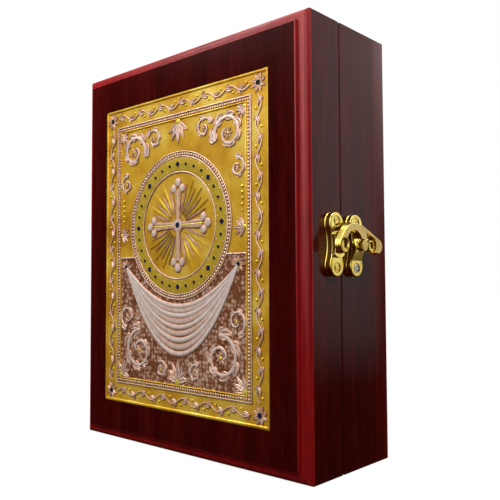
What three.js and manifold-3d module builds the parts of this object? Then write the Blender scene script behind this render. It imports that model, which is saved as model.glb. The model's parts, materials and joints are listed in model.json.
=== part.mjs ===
// Icon case: an upright wooden case that opens like a book. A picture plate is let into the front
// board of the lid. The lid turns on two butt hinges at one side, and a hook catch at the other
// side holds it shut.
// Millimetres. X runs to the right along the front, Y from the front to the back, Z up.
// The origin is on the floor, under the middle of the case.

import * as THREE from 'three'
import { mergeVertices } from 'three/addons/utils/BufferGeometryUtils.js'
import Module from 'manifold-3d'

const wasm = await Module()
wasm.setup()

// Case
const CASE_WIDTH = 196
const CASE_HEIGHT = 250
const CASE_DEPTH = 80
const LID_DEPTH = 32 // front face to the middle of the opening line
const OPENING_GAP = 0.5 // between the two rims
const WALL = 9 // thickness of the rails
const GLUE_LINE = 0.06 // between mitred rails
const RIM_ARRIS = 0.5 // softened outer edge of each rim

// Front board and its moulded edge
const FRONT_BOARD = 6
const MOULDING_WIDTH = 6
const STEP_DROP = 1.6
const QUIRK_WIDTH = 0.5 // flat between the step and the round-over
const MOULDING_EDGE = 0.4 // straight part below the round-over
const MOULDING_FACETS = 6

// Back board
const BACK_BOARD = 13.8
const BACK_ROUND = 1.5
const BACK_FACETS = 3

// Picture plate
const PLATE_WIDTH = 148
const PLATE_HEIGHT = 198
const PLATE_THICK = 1.2
const PLATE_SINK = 0.4 // face of the plate below the face of the board
const PLATE_CLEARANCE = 0.15
const PLATE_LEFT = 1.1 // middle of the plate, to the left of the middle of the board
const PLATE_LOW = 0.9 // and below it

// Padded linings
const BASE_PAD = 6
const LID_PAD = 5
const PAD_GAP = 0.4
const PAD_ROUND = 2

// Hinges
const HINGE_FROM_END = 45 // middle of each hinge from the nearer end of the case
const LEAF_LENGTH = 30
const LEAF_WIDTH = 7.2 // let into the rim
const LEAF_THICK = 1.2
const BARREL_RADIUS = 2.2
const BARREL_STANDOFF = 2.6 // pin's middle from the outside of the case
const KNUCKLES = 5
const KNUCKLE_GAP = 0.3
const PIN_RADIUS = 1
const PIN_CLEARANCE = 0.1
const LEAF_SCREW_FROM_END = 6

// Catch: the two plates
const CATCH_DROP = 0.2 // rivet and post below the middle of the case
const HOOK_PLATE_OFFSET = 9.5 // middle of the plate in front of the opening line
const STRIKE_PLATE_OFFSET = 10.5 // middle of the plate behind the opening line
const HOOK_PLATE_THICK = 4
const STRIKE_PLATE_THICK = 3.4
const CATCH_BEVEL = 0.8
const LOBE_RADIUS = 6.4
const WAIST = 4.2 // half width
const CATCH_SCREW_SPACING = 25.2
const SCREW_BEYOND_LOBE = 1.4 // middle of a screw past the middle of its lobe
const COLLAR_RADIUS = 7.2
const COLLAR_HEIGHT = 1.7

// Catch: the post
const POST_RADIUS = 3.1
const POST_FLAT = 2.7 // flat of the post from its middle
const POST_HEIGHT = 5.5 // above its plate
const RAMP_HEIGHT = 2.4 // where it meets the post, above the plate
const RAMP_LENGTH = 6.6
const RAMP_WIDTH = 6.4

// Catch: the hook, in its own plane, from the rivet
const HOOK_THICK = 3.3
const HOOK_GAP = 0.2 // between the collar and the hook
const HOOK_PLAY = 0.35 // between the hook and the post
const HUB_RADIUS = 4.3
const ARCH = [9.4, 0.5, 11.2] // a round of the outline: along, up, radius
const ARCH_BAND = 3.7 // width of the face round the opening
const CREST = [15.6, 6.2, 5] // where the arch turns into the slope
const EYE_RADIUS = 3.3
const EYE_DROP = 0.1
const EYE_HEIGHT = 1.8 // above the floor of the groove
const TAIL_RADIUS = 3.9
const TAIL_BEYOND_EYE = 6.9
const GROOVE_DEPTH = 2.3
const GROOVE_WIDTH = 1.25 // round the eye
const GROOVE_START = [22.4, 5.8, 1.1]
const GROOVE_TURN = [28.3, 2.3, 2.2]
const RIVET_RADIUS = 1.7
const RIVET_HEAD_RADIUS = 2.9
const RIVET_DOME = 0.8
const RIVET_GAP = 0.15

// Screws: head radius, shank radius, length, width and reach of the cross recess
const CATCH_SCREW = { head: 2.5, shank: 1.25, length: 9.6, slot: 0.7, reach: 1.6, sink: 0.3 }
const LEAF_SCREW = { head: 1.7, shank: 0.8, length: 6.6, slot: 0.45, reach: 1.05, sink: 0.05 }
const POINT_SHARE = 0.25 // tapered end of a screw, of its length
const SCREW_CLEARANCE = 0.06

// Fits and fineness
const SEAT_GAP = 0.05
const OVERRUN = 1 // of a cutter past what it cuts
const ROUND_SIDES = 20
const SCREW_SIDES = 16
const HALF_TURN = Math.PI

// Planes and places that follow from the sizes
const RIGHT = CASE_WIDTH / 2
const FRONT = -CASE_DEPTH / 2
const BACK = CASE_DEPTH / 2
const OPENING = FRONT + LID_DEPTH
const LID_RIM = OPENING - OPENING_GAP / 2
const BASE_RIM = OPENING + OPENING_GAP / 2
const LID_FLOOR = FRONT + FRONT_BOARD
const PLATE_FACE = FRONT + PLATE_SINK
const PLATE_BACK = PLATE_FACE + PLATE_THICK
const BASE_FLOOR = BACK - BACK_BOARD
const HINGE_HEIGHTS = [CASE_HEIGHT - HINGE_FROM_END, HINGE_FROM_END]
const CATCH_HEIGHT = CASE_HEIGHT / 2 - CATCH_DROP
const BARREL_X = -RIGHT - BARREL_STANDOFF
const LEAF_END = -RIGHT + LEAF_WIDTH
const POST_REACH = HOOK_PLATE_OFFSET + STRIKE_PLATE_OFFSET
const HOOK_REAR = HOOK_PLATE_THICK + COLLAR_HEIGHT + HOOK_GAP
const HOOK_FACE = HOOK_REAR + HOOK_THICK

// Finishes
const finish = (color, roughness, metalness) =>
  new THREE.MeshStandardMaterial({ color, roughness, metalness })
const DARK_VENEER = finish(0x3c0d0b, 0.3, 0)
const RED_STAIN = finish(0x6a1614, 0.3, 0)
const PRINTED_METAL = finish(0xd2a23c, 0.35, 0.6)
const VELVET = finish(0x5a0a14, 0.95, 0)
const BRASS = finish(0xd9b24a, 0.22, 1)
const PLATED_STEEL = finish(0xc9c2b4, 0.3, 1)

// Solids

function solid(geometry) {
  const bare = geometry.clone()
  bare.deleteAttribute('normal')
  bare.deleteAttribute('uv')
  const welded = mergeVertices(bare)
  const corners = Array.from(welded.index.array)
  const faces = []
  for (let i = 0; i < corners.length; i += 3) {
    const [a, b, c] = corners.slice(i, i + 3)
    if (a !== b && b !== c && c !== a) faces.push(a, b, c)
  }
  const vertProperties = new Float32Array(welded.attributes.position.array)
  return new wasm.Manifold(new wasm.Mesh({ numProp: 3, vertProperties, triVerts: new Uint32Array(faces) }))
}

function piece(name, body, material, place) {
  const { vertProperties, triVerts } = body.getMesh()
  const geometry = new THREE.BufferGeometry()
  geometry.setAttribute('position', new THREE.BufferAttribute(vertProperties, 3))
  geometry.setIndex(new THREE.BufferAttribute(triVerts, 1))
  geometry.computeVertexNormals()
  const mesh = new THREE.Mesh(geometry, material)
  mesh.name = name
  if (place) mesh.applyMatrix4(place)
  return mesh
}

function box([x0, y0, z0], [x1, y1, z1]) {
  const block = new THREE.BoxGeometry(x1 - x0, y1 - y0, z1 - z0)
  return solid(block.translate((x0 + x1) / 2, (y0 + y1) / 2, (z0 + z1) / 2))
}

// A profile of [radius, distance] pairs turned about Z, and moved to where place puts it.
function turned(profile, place = new THREE.Matrix4(), sides = ROUND_SIDES) {
  const upward = profile[0][1] < profile.at(-1)[1] ? profile : profile.toReversed()
  const points = upward.map(([radius, along]) => new THREE.Vector2(radius, along))
  const lathe = new THREE.LatheGeometry(points, sides).rotateX(HALF_TURN / 2)
  return solid(lathe.applyMatrix4(place))
}

const rod = (radius, from, to, place) => turned([[0, from], [radius, from], [radius, to], [0, to]], place)

// Turns of a drawn-out outline: (y, z) along X, and (z, x) along Y.
const AXES = [new THREE.Vector3(1, 0, 0), new THREE.Vector3(0, 1, 0), new THREE.Vector3(0, 0, 1)]
const ALONG_X = new THREE.Matrix4().makeBasis(AXES[1], AXES[2], AXES[0])
const ALONG_Y = new THREE.Matrix4().makeBasis(AXES[2], AXES[0], AXES[1])

function slab(outline, from, to) {
  const shape = new THREE.Shape(outline.map(([y, z]) => new THREE.Vector2(y, z)))
  const drawn = new THREE.ExtrudeGeometry(shape, { depth: to - from, bevelEnabled: false })
  return solid(drawn.translate(0, 0, from).applyMatrix4(ALONG_X))
}

// The smallest outline round a set of [y, z, radius] circles.
function outlineRound(circles) {
  const points = circles.flatMap(([y, z, radius]) => Array.from({ length: 2 * ROUND_SIDES }, (_, i) => {
    const angle = (HALF_TURN * i) / ROUND_SIDES
    return [y + radius * Math.cos(angle), z + radius * Math.sin(angle)]
  }))
  points.sort((a, b) => a[0] - b[0] || a[1] - b[1])
  const turn = (a, b, c) => (b[0] - a[0]) * (c[1] - a[1]) - (b[1] - a[1]) * (c[0] - a[0])
  const chain = (list) => list.reduce((kept, point) => {
    while (kept.length > 1 && turn(kept.at(-2), kept.at(-1), point) <= 0) kept.pop()
    return [...kept, point]
  }, [])
  return [...chain(points).slice(0, -1), ...chain(points.reverse()).slice(0, -1)]
}

// A block as wide and high as the case, whose outline is drawn in by an inset at each depth.
function steppedBlock(levels) {
  const corners = levels.flatMap(([inset, y]) => {
    const x = RIGHT - inset
    const top = CASE_HEIGHT - inset
    return [[-x, y, inset], [x, y, inset], [x, y, top], [-x, y, top]]
  })
  const end = corners.length - 4
  const faces = [[0, 1, 2], [0, 2, 3], [end, end + 2, end + 1], [end, end + 3, end + 2]]
  for (let level = 0; level < end; level += 4) {
    for (let side = 0; side < 4; side++) {
      const a = level + side
      const b = level + (side + 1) % 4
      faces.push([a, a + 4, b + 4], [a, b + 4, b])
    }
  }
  const geometry = new THREE.BufferGeometry()
  geometry.setAttribute('position', new THREE.Float32BufferAttribute(corners.flat(), 3))
  geometry.setIndex(faces.flat())
  return solid(geometry)
}

// Levels of a quarter round of a given width and depth, from the flat face to the straight side.
function quarterRound(width, depth, start, facets, toFace = 1) {
  return Array.from({ length: facets + 1 }, (_, i) => {
    const angle = (HALF_TURN / 2) * (i / facets)
    return [width * (1 - Math.sin(angle)), start + toFace * depth * (1 - Math.cos(angle))]
  })
}

// Where a screw or rivet stands: its head's face at a point, looking along an axis.
const LOOKS = {
  right: new THREE.Euler(0, HALF_TURN / 2, 0),
  front: new THREE.Euler(HALF_TURN / 2, 0, 0),
  back: new THREE.Euler(-HALF_TURN / 2, 0, 0),
}
const standing = (looks, x, y, z) =>
  new THREE.Matrix4().makeRotationFromEuler(LOOKS[looks]).setPosition(x, y, z)

// Screws and their holes

function screwProfile({ head, shank, length }, clearance) {
  const tip = -length - clearance
  return [
    [0, 0],
    [head + clearance, 0],
    [shank + clearance, shank - head],
    [shank + clearance, tip + length * POINT_SHARE],
    [0, tip],
  ]
}

function screw(size) {
  const half = size.slot / 2
  const depth = size.head - size.shank
  const bars = [
    box([-size.reach, -half, -depth], [size.reach, half, OVERRUN]),
    box([-half, -size.reach, -depth], [half, size.reach, OVERRUN]),
  ]
  return turned(screwProfile(size, 0), undefined, SCREW_SIDES).subtract(bars[0].add(bars[1]))
}

const screwHole = (size, place) => {
  const { head } = size
  const mouth = [[head + SCREW_CLEARANCE, OVERRUN], [0, OVERRUN]]
  const [, rim, ...shank] = screwProfile(size, SCREW_CLEARANCE)
  return turned([...shank.toReversed(), rim, ...mouth], place, SCREW_SIDES)
}

const drilled = (body, size, places) =>
  places.reduce((cut, place) => cut.subtract(screwHole(size, place)), body)

const offsets = (spacing) => [spacing / 2, -spacing / 2]
const ENDS = ['upper', 'lower']

// Hinges

const hingeScrewPlace = (looks, height, along) => {
  const y = looks === 'front' ? BASE_RIM + LEAF_SCREW.sink : LID_RIM - LEAF_SCREW.sink
  return standing(looks, (LEAF_END - RIGHT) / 2, y, height + along)
}

const hingeScrewPlaces = (looks, height) =>
  offsets(LEAF_SCREW_SPACING).map((along) => hingeScrewPlace(looks, height, along))

const LEAF_SCREW_SPACING = LEAF_LENGTH - 2 * LEAF_SCREW_FROM_END
const KNUCKLE_LENGTH = (LEAF_LENGTH - KNUCKLE_GAP * (KNUCKLES - 1)) / KNUCKLES

function hingeLeaf(looks, height) {
  const isBase = looks === 'front'
  const [near, far] = isBase ? [BASE_RIM, BASE_RIM + LEAF_THICK] : [LID_RIM - LEAF_THICK, LID_RIM]
  const bottom = height - LEAF_LENGTH / 2
  const axis = new THREE.Matrix4().setPosition(BARREL_X, OPENING, bottom)
  const clear = BARREL_X + BARREL_RADIUS + KNUCKLE_GAP
  let leaf = box([clear, near, bottom], [LEAF_END, far, bottom + LEAF_LENGTH])
  for (let knuckle = isBase ? 0 : 1; knuckle < KNUCKLES; knuckle += 2) {
    const from = knuckle * (KNUCKLE_LENGTH + KNUCKLE_GAP)
    const to = from + KNUCKLE_LENGTH
    const neck = box([BARREL_X, near, bottom + from], [clear + OVERRUN, far, bottom + to])
    leaf = leaf.add(rod(BARREL_RADIUS, from, to, axis)).add(neck)
  }
  leaf = leaf.subtract(rod(PIN_RADIUS + PIN_CLEARANCE, -OVERRUN, LEAF_LENGTH + OVERRUN, axis))
  return drilled(leaf, LEAF_SCREW, hingeScrewPlaces(looks, height))
}

const hingePin = (height) => rod(
  PIN_RADIUS, 0, LEAF_LENGTH, new THREE.Matrix4().setPosition(BARREL_X, OPENING, height - LEAF_LENGTH / 2))

function mortise(looks, height) {
  const depth = LEAF_THICK + SEAT_GAP
  const half = LEAF_LENGTH / 2 + SEAT_GAP
  const [rim, floor] = looks === 'front'
    ? [BASE_RIM - OVERRUN, BASE_RIM + depth]
    : [LID_RIM + OVERRUN, LID_RIM - depth]
  const [near, far] = [Math.min(rim, floor), Math.max(rim, floor)]
  return box([-RIGHT - OVERRUN, near, height - half], [LEAF_END + SEAT_GAP, far, height + half])
}

// Rails: a ring with a hollow, cut into four at its mitres

const SIDES = ['clasp_side', 'top', 'hinge_side', 'bottom']

function mitreWedge(side) {
  const half = CASE_HEIGHT / 2
  const inner = 2 * WALL
  const gap = GLUE_LINE / Math.SQRT2
  const x = [RIGHT + OVERRUN, RIGHT - inner]
  const z = [half + OVERRUN, half - inner]
  const upright = [[x[0], z[0] - gap], [x[1], z[1] - gap], [x[1], gap - z[1]], [x[0], gap - z[0]]]
  const level = [[x[0] - gap, z[0]], [x[1] - gap, z[1]], [gap - x[1], z[1]], [gap - x[0], z[0]]]
  const outline = side === 'clasp_side' || side === 'hinge_side' ? upright : level
  const mirror = side === 'hinge_side' || side === 'bottom' ? -1 : 1
  const points = outline.map(([across, up]) => new THREE.Vector2(half + mirror * up, mirror * across))
  const whole = { depth: CASE_DEPTH, bevelEnabled: false }
  const drawn = new THREE.ExtrudeGeometry(new THREE.Shape(points), whole)
  return solid(drawn.translate(0, 0, FRONT).applyMatrix4(ALONG_Y))
}

function railRing(levels) {
  const [low, high] = [levels[0][1], levels.at(-1)[1]]
  const [x, top] = [RIGHT - WALL, CASE_HEIGHT - WALL]
  const hollow = box([-x, low - OVERRUN, WALL], [x, high + OVERRUN, top])
  return steppedBlock(levels).subtract(hollow)
}

function rails(prefix, ring, cuts) {
  return SIDES.map((side) => {
    const rail = ring.intersect(mitreWedge(side))
    const cut = (cuts[side] ?? []).reduce((left, cutter) => left.subtract(cutter), rail)
    return piece(`${prefix}_rail_${side}`, cut, DARK_VENEER)
  })
}

// Boards and plate

function frontBoard() {
  const ovoloWidth = MOULDING_WIDTH - QUIRK_WIDTH
  const ovoloDepth = FRONT_BOARD - STEP_DROP - MOULDING_EDGE
  const levels = [
    [MOULDING_WIDTH, FRONT],
    [MOULDING_WIDTH, FRONT + STEP_DROP],
    ...quarterRound(ovoloWidth, ovoloDepth, FRONT + STEP_DROP, MOULDING_FACETS),
    [0, LID_FLOOR],
  ]
  const recess = plateBlock(FRONT - OVERRUN, PLATE_BACK, PLATE_CLEARANCE)
  return steppedBlock(levels).subtract(recess)
}

function plateBlock(front, back, clearance) {
  const [x, z] = [-PLATE_LEFT, CASE_HEIGHT / 2 - PLATE_LOW]
  const width = PLATE_WIDTH / 2 + clearance
  const height = PLATE_HEIGHT / 2 + clearance
  return box([x - width, front, z - height], [x + width, back, z + height])
}

function backBoard() {
  const rounding = quarterRound(BACK_ROUND, BACK_ROUND, BACK, BACK_FACETS, -1).reverse()
  return steppedBlock([[0, BASE_FLOOR], ...rounding])
}

function pad(floor, thick, facing) {
  const inset = WALL + PAD_GAP
  const face = floor + facing * thick
  const levels = [[inset, floor], [inset, face - facing * PAD_ROUND], [inset + PAD_ROUND, face]]
  return steppedBlock(facing > 0 ? levels : levels.reverse())
}

// Catch

const CATCH_FACE = { hook: RIGHT + HOOK_PLATE_THICK, strike: RIGHT + STRIKE_PLATE_THICK }
const MIDDLE = { hook: OPENING - HOOK_PLATE_OFFSET, strike: OPENING + STRIKE_PLATE_OFFSET }

const catchScrewPlaces = (kind) => offsets(CATCH_SCREW_SPACING).map((along) =>
  standing('right', CATCH_FACE[kind] - CATCH_SCREW.sink, MIDDLE[kind], CATCH_HEIGHT + along))

// The outline of a catch plate: two lobes joined by a hollow waist.
function lobedOutline() {
  const reach = CATCH_SCREW_SPACING / 2 - SCREW_BEYOND_LOBE
  const hollow = (WAIST ** 2 + reach ** 2 - LOBE_RADIUS ** 2) / (2 * (LOBE_RADIUS - WAIST))
  const lean = Math.atan2(reach, WAIST + hollow)
  const shape = new THREE.Shape()
  shape.absarc(0, reach, LOBE_RADIUS, -lean, HALF_TURN + lean, false)
  shape.absarc(-WAIST - hollow, 0, hollow, lean, -lean, true)
  shape.absarc(0, -reach, LOBE_RADIUS, HALF_TURN - lean, 2 * HALF_TURN + lean, false)
  shape.absarc(WAIST + hollow, 0, hollow, HALF_TURN + lean, HALF_TURN - lean, true)
  return shape
}

// A catch plate in its own plane, with its back at zero and the corner of its face bevelled.
function bevelledPlate(thick) {
  const bevel = {
    depth: thick, curveSegments: ROUND_SIDES / 2, bevelSegments: 1,
    bevelThickness: CATCH_BEVEL, bevelSize: CATCH_BEVEL, bevelOffset: -CATCH_BEVEL,
  }
  const drawn = new THREE.ExtrudeGeometry(lobedOutline(), bevel).translate(0, 0, -CATCH_BEVEL)
  const half = CATCH_SCREW_SPACING
  const behind = box([-2 * CATCH_BEVEL - OVERRUN, -half, -half], [0, half, half])
  return solid(drawn.applyMatrix4(ALONG_X)).subtract(behind)
}

const onTheSide = (kind, plate) =>
  drilled(plate.translate([RIGHT, MIDDLE[kind], CATCH_HEIGHT]), CATCH_SCREW, catchScrewPlaces(kind))

const TURNED_OUT = new THREE.Matrix4().makeRotationY(HALF_TURN / 2)

function hookPlate() {
  const collar = rod(COLLAR_RADIUS, 0, HOOK_PLATE_THICK + COLLAR_HEIGHT, TURNED_OUT)
  const hole = rod(RIVET_RADIUS + SEAT_GAP, -OVERRUN, HOOK_REAR, TURNED_OUT)
  return onTheSide('hook', bevelledPlate(HOOK_PLATE_THICK).add(collar).subtract(hole))
}

function strikePlate() {
  const [face, end] = [STRIKE_PLATE_THICK, STRIKE_PLATE_THICK + POST_HEIGHT]
  const flat = box([face, -2 * POST_RADIUS, -POST_RADIUS], [end + OVERRUN, -POST_FLAT, POST_RADIUS])
  const post = rod(POST_RADIUS, 0, end, TURNED_OUT).subtract(flat)
  const [high, low] = [face + RAMP_HEIGHT, -POST_RADIUS - RAMP_LENGTH]
  const ramp = [[0, 0], [high, 0], [high, -POST_RADIUS], [face, low], [0, low]]
  return onTheSide('strike', bevelledPlate(face).add(post).add(ribAcross(ramp, RAMP_WIDTH)))
}

// An outline (x, z) drawn out along Y, half its width to each side of the middle.
function ribAcross(outline, width) {
  const shape = new THREE.Shape(outline.map(([x, z]) => new THREE.Vector2(z, x)))
  const drawn = new THREE.ExtrudeGeometry(shape, { depth: width, bevelEnabled: false })
  return solid(drawn.translate(0, 0, -width / 2).applyMatrix4(ALONG_Y))
}

// The hook lies in its own plane with the rivet at the origin, its thickness along X.
function hook() {
  const far = POST_REACH + POST_RADIUS + HOOK_PLAY
  const shoulder = POST_RADIUS + HOOK_PLAY
  const through = [HOOK_REAR - OVERRUN, HOOK_FACE + OVERRUN]
  const floor = HOOK_FACE - GROOVE_DEPTH
  const hub = [0, 0, HUB_RADIUS]
  const eye = [far + EYE_RADIUS, -EYE_DROP, EYE_RADIUS]
  const tail = [eye[0] + TAIL_BEYOND_EYE, -EYE_DROP, TAIL_RADIUS]
  const [start, , narrow] = GROOVE_START
  const tongue = [start, shoulder + narrow, narrow]
  const full = (circles) => slab(outlineRound(circles), HOOK_REAR, HOOK_FACE)

  const roundEye = [eye[0], eye[1], EYE_RADIUS + GROOVE_WIDTH]
  const groove = slab(outlineRound([GROOVE_START, GROOVE_TURN, roundEye]), floor, through[1])
  const scroll = slab(outlineRound([tongue, eye]), HOOK_REAR, floor + EYE_HEIGHT)
  const [along, up, outer] = ARCH
  const window = slab(outlineRound([[along, up, outer - ARCH_BAND]]), ...through)
  // All that the post passes through as the hook swings up.
  const swept = rod(far, ...through, TURNED_OUT)
  const passage = swept.subtract(box([0, -2 * far, shoulder], [2 * HOOK_FACE, 2 * far, 2 * far]))

  return full([hub, ARCH, CREST])
    .add(full([CREST, eye, tail]))
    .subtract(groove)
    .add(scroll)
    .subtract(window.add(passage))
    .add(full([hub]))
    .subtract(rod(RIVET_RADIUS + PIN_CLEARANCE, ...through, TURNED_OUT))
}

function rivet() {
  const head = HOOK_FACE + RIVET_GAP
  const dome = quarterRound(RIVET_HEAD_RADIUS, RIVET_DOME, head + RIVET_DOME, MOULDING_FACETS, -1)
    .map(([inset, along]) => [RIVET_HEAD_RADIUS - inset, along])
  const stem = [[0, SEAT_GAP], [RIVET_RADIUS, SEAT_GAP], [RIVET_RADIUS, head]]
  return turned([...stem, ...dome.toReversed()])
}

// Assembly

const screws = (name, size, places, material) =>
  places.map((place, i) => piece(`${name}_${ENDS[i]}`, screw(size), material, place))

function hingeHalf(prefix, looks) {
  return HINGE_HEIGHTS.flatMap((height, i) => [
    piece(`${prefix}_leaf_${ENDS[i]}`, hingeLeaf(looks, height), BRASS),
    ...screws(`${prefix}_leaf_${ENDS[i]}_screw`, LEAF_SCREW, hingeScrewPlaces(looks, height), BRASS),
  ])
}

const hingeCuts = (looks) => HINGE_HEIGHTS.flatMap((height) => [
  mortise(looks, height), ...hingeScrewPlaces(looks, height).map((place) => screwHole(LEAF_SCREW, place))])

const catchCuts = (kind) => catchScrewPlaces(kind).map((place) => screwHole(CATCH_SCREW, place))

function baseHalf() {
  const ring = railRing([[RIM_ARRIS, BASE_RIM], [0, BASE_RIM + RIM_ARRIS], [0, BASE_FLOOR]])
  const cuts = { hinge_side: hingeCuts('front'), clasp_side: catchCuts('strike') }
  const group = new THREE.Group()
  group.add(...rails('base', ring, cuts))
  group.add(piece('back_board', backBoard(), RED_STAIN))
  group.add(piece('base_lining_pad', pad(BASE_FLOOR, BASE_PAD, -1), VELVET))
  group.add(...hingeHalf('base', 'front'))
  group.add(...HINGE_HEIGHTS.map((height, i) =>
    piece(`hinge_pin_${ENDS[i]}`, hingePin(height), PLATED_STEEL)))
  group.add(piece('strike_plate', strikePlate(), BRASS))
  group.add(...screws('strike_screw', CATCH_SCREW, catchScrewPlaces('strike'), PLATED_STEEL))
  return group
}

function lidHalf() {
  const ring = railRing([[0, LID_FLOOR], [0, LID_RIM - RIM_ARRIS], [RIM_ARRIS, LID_RIM]])
  const cuts = { hinge_side: hingeCuts('back'), clasp_side: catchCuts('hook') }
  const group = new THREE.Group()
  group.add(piece('front_board', frontBoard(), DARK_VENEER))
  group.add(piece('icon_plate', plateBlock(PLATE_FACE, PLATE_BACK, 0), PRINTED_METAL))
  group.add(...rails('lid', ring, cuts))
  group.add(piece('lid_lining_pad', pad(LID_FLOOR, LID_PAD, 1), VELVET))
  group.add(...hingeHalf('lid', 'back'))
  group.add(piece('hook_plate', hookPlate(), BRASS))
  group.add(...screws('hook_plate_screw', CATCH_SCREW, catchScrewPlaces('hook'), BRASS))
  group.add(piece('hook_rivet', rivet(), BRASS, standing('right', RIGHT, MIDDLE.hook, CATCH_HEIGHT)))
  return group
}

function catchHook() {
  const group = new THREE.Group()
  group.position.set(RIGHT, MIDDLE.hook, CATCH_HEIGHT)
  group.add(piece('hook', hook(), BRASS))
  return group
}

const iconCase = new THREE.Group()
iconCase.add(baseHalf(), lidHalf(), catchHook())
export default iconCase
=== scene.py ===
# %% [markdown]
# # An icon case that opens like a book
# The object is an upright wooden case, lacquered and polished. A plate with a raised gold and
# rose-silver ornament is let into its front board, and a brass hook catch holds it shut.
# The CAD model gives every size. This lesson dresses it: smooth boards, turned and filed
# brass, a raised ornament and padded velvet, each piece in the place that the CAD gives it.

import json
import math

import bmesh
import bpy
from mathutils import Matrix, Vector
from mathutils.geometry import convex_hull_2d


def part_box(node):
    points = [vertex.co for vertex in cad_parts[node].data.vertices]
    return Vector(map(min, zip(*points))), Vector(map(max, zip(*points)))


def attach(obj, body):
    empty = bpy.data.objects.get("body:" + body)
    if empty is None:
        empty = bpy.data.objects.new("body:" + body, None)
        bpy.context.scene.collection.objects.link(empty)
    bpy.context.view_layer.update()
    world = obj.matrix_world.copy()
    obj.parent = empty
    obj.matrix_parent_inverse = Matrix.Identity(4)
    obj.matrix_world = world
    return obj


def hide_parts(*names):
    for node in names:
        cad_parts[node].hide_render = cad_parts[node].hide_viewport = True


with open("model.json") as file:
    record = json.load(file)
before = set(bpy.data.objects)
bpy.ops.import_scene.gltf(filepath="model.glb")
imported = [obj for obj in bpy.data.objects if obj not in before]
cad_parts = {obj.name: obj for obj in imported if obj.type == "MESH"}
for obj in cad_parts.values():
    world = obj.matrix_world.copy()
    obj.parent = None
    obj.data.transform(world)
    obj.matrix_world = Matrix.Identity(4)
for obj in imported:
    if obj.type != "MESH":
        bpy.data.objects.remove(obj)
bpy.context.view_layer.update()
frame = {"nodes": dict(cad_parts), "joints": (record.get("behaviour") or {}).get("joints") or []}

# %% [markdown]
# ## The camera
# The picture was taken from the right front, a little below the middle of the case, with a
# lens that shows clear perspective. A camera is placed by where it stands, the way that it
# looks, and its lens. Turning it about the three axes in order keeps those numbers readable.

# %% Camera
CAMERA_AT = Vector((0.300983, -0.308600, 0.105169))
CAMERA_YAW = math.radians(41.981)
CAMERA_PITCH = math.radians(2.757)
CAMERA_ROLL = math.radians(-0.2536)
LENS_MM = 47.02

camera = bpy.data.objects.new("camera", bpy.data.cameras.new("camera"))
camera.data.lens = LENS_MM
camera.matrix_world = (
    Matrix.Translation(CAMERA_AT)
    @ Matrix.Rotation(CAMERA_YAW, 4, "Z")
    @ Matrix.Rotation(math.radians(90) + CAMERA_PITCH, 4, "X")
    @ Matrix.Rotation(CAMERA_ROLL, 4, "Z")
)
bpy.context.scene.collection.objects.link(camera)
bpy.context.scene.camera = camera

# %% [markdown]
# ## Nodes in a few words
# A material is a tree of nodes. Adding each node by hand takes many lines, so one helper adds
# a node and fills its inputs, either with a value or with the output of an earlier node.
# A second helper turns a number into a colour, a third does sums, and the rest are the
# patterns that most finishes here share: noise, drawn-out coordinates and a fine relief.

# %% Node helpers
def add(tree, kind, **inputs):
    """A node of this kind. An input is given as a value or as the output that feeds it."""
    made = tree.nodes.new(kind)
    for name, given in inputs.items():
        socket = made.inputs[name.replace("_", " ")]
        if isinstance(given, bpy.types.NodeSocket):
            tree.links.new(given, socket)
        else:
            socket.default_value = given
    return made


def ramp(tree, number, *stops):
    """A colour read off a scale of (position, colour) stops."""
    made = add(tree, "ShaderNodeValToRGB", Fac=number)
    scale = made.color_ramp
    while len(scale.elements) < len(stops):
        scale.elements.new(1)
    for element, (position, colour) in zip(scale.elements, stops):
        element.position = position
        element.color = (*colour, 1)
    return made.outputs["Color"]


def calculate(tree, operation, *given):
    """A number worked out from others, such as their sum or product."""
    made = tree.nodes.new("ShaderNodeMath")
    made.operation = operation
    for socket, value in zip(made.inputs, given):
        if isinstance(value, bpy.types.NodeSocket):
            tree.links.new(value, socket)
        else:
            socket.default_value = value
    return made.outputs[0]


def new_finish(name, **settings):
    """A material with one Principled shader, its tree, and its coordinates in metres."""
    material = bpy.data.materials.new(name)
    material.use_nodes = True
    tree = material.node_tree
    shader = tree.nodes["Principled BSDF"]
    for socket, value in settings.items():
        shader.inputs[socket.replace("_", " ")].default_value = value
    place = tree.nodes.new("ShaderNodeTexCoord").outputs["Object"]
    return material, tree, shader, place


def stretched(tree, place, scales):
    """Coordinates scaled along each axis, to draw a pattern out."""
    return add(tree, "ShaderNodeMapping", Vector=place, Scale=scales).outputs["Vector"]


def noise(tree, place, size, detail=3.0, rough=0.5):
    """Noise whose blotches are about this size, in metres."""
    made = add(tree, "ShaderNodeTexNoise", Vector=place, Scale=1 / size, Detail=detail, Roughness=rough)
    return made.outputs["Fac"]


def bump(tree, shader, height, depth, strength=1.0):
    """A fine relief of a given depth, in metres, that is too small for the mesh."""
    made = add(tree, "ShaderNodeBump", Height=height, Distance=depth, Strength=strength)
    tree.links.new(made.outputs["Normal"], shader.inputs["Normal"])


# %% [markdown]
# ## Surroundings
# The floor glows to what looks at it, near white under the case and white away from it. Its
# own colour is a dark grey, which takes the shadow of the case and throws little light back
# up. The world is white to what looks at it, to reflections and through glass, and gives a
# plain fill light otherwise. Polished metal is only as good as what it mirrors, so a round
# screen with bright panels that darken to their foot stands about the case. It is seen in
# reflections alone, as a photographer's screens are.

# %% World
FILL_STRENGTH = 0.2

world = bpy.data.worlds.new("white_surroundings")
bpy.context.scene.world = world
world.use_nodes = True
sky = world.node_tree
path = sky.nodes.new("ShaderNodeLightPath").outputs


def seen(tree, outputs):
    """1 for a ray that looks, mirrors or passes through glass, and 0 for one that lights."""
    mirrored = calculate(tree, "MAXIMUM", outputs["Is Camera Ray"], outputs["Is Glossy Ray"])
    return calculate(tree, "MAXIMUM", mirrored, outputs["Is Transmission Ray"])


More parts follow.
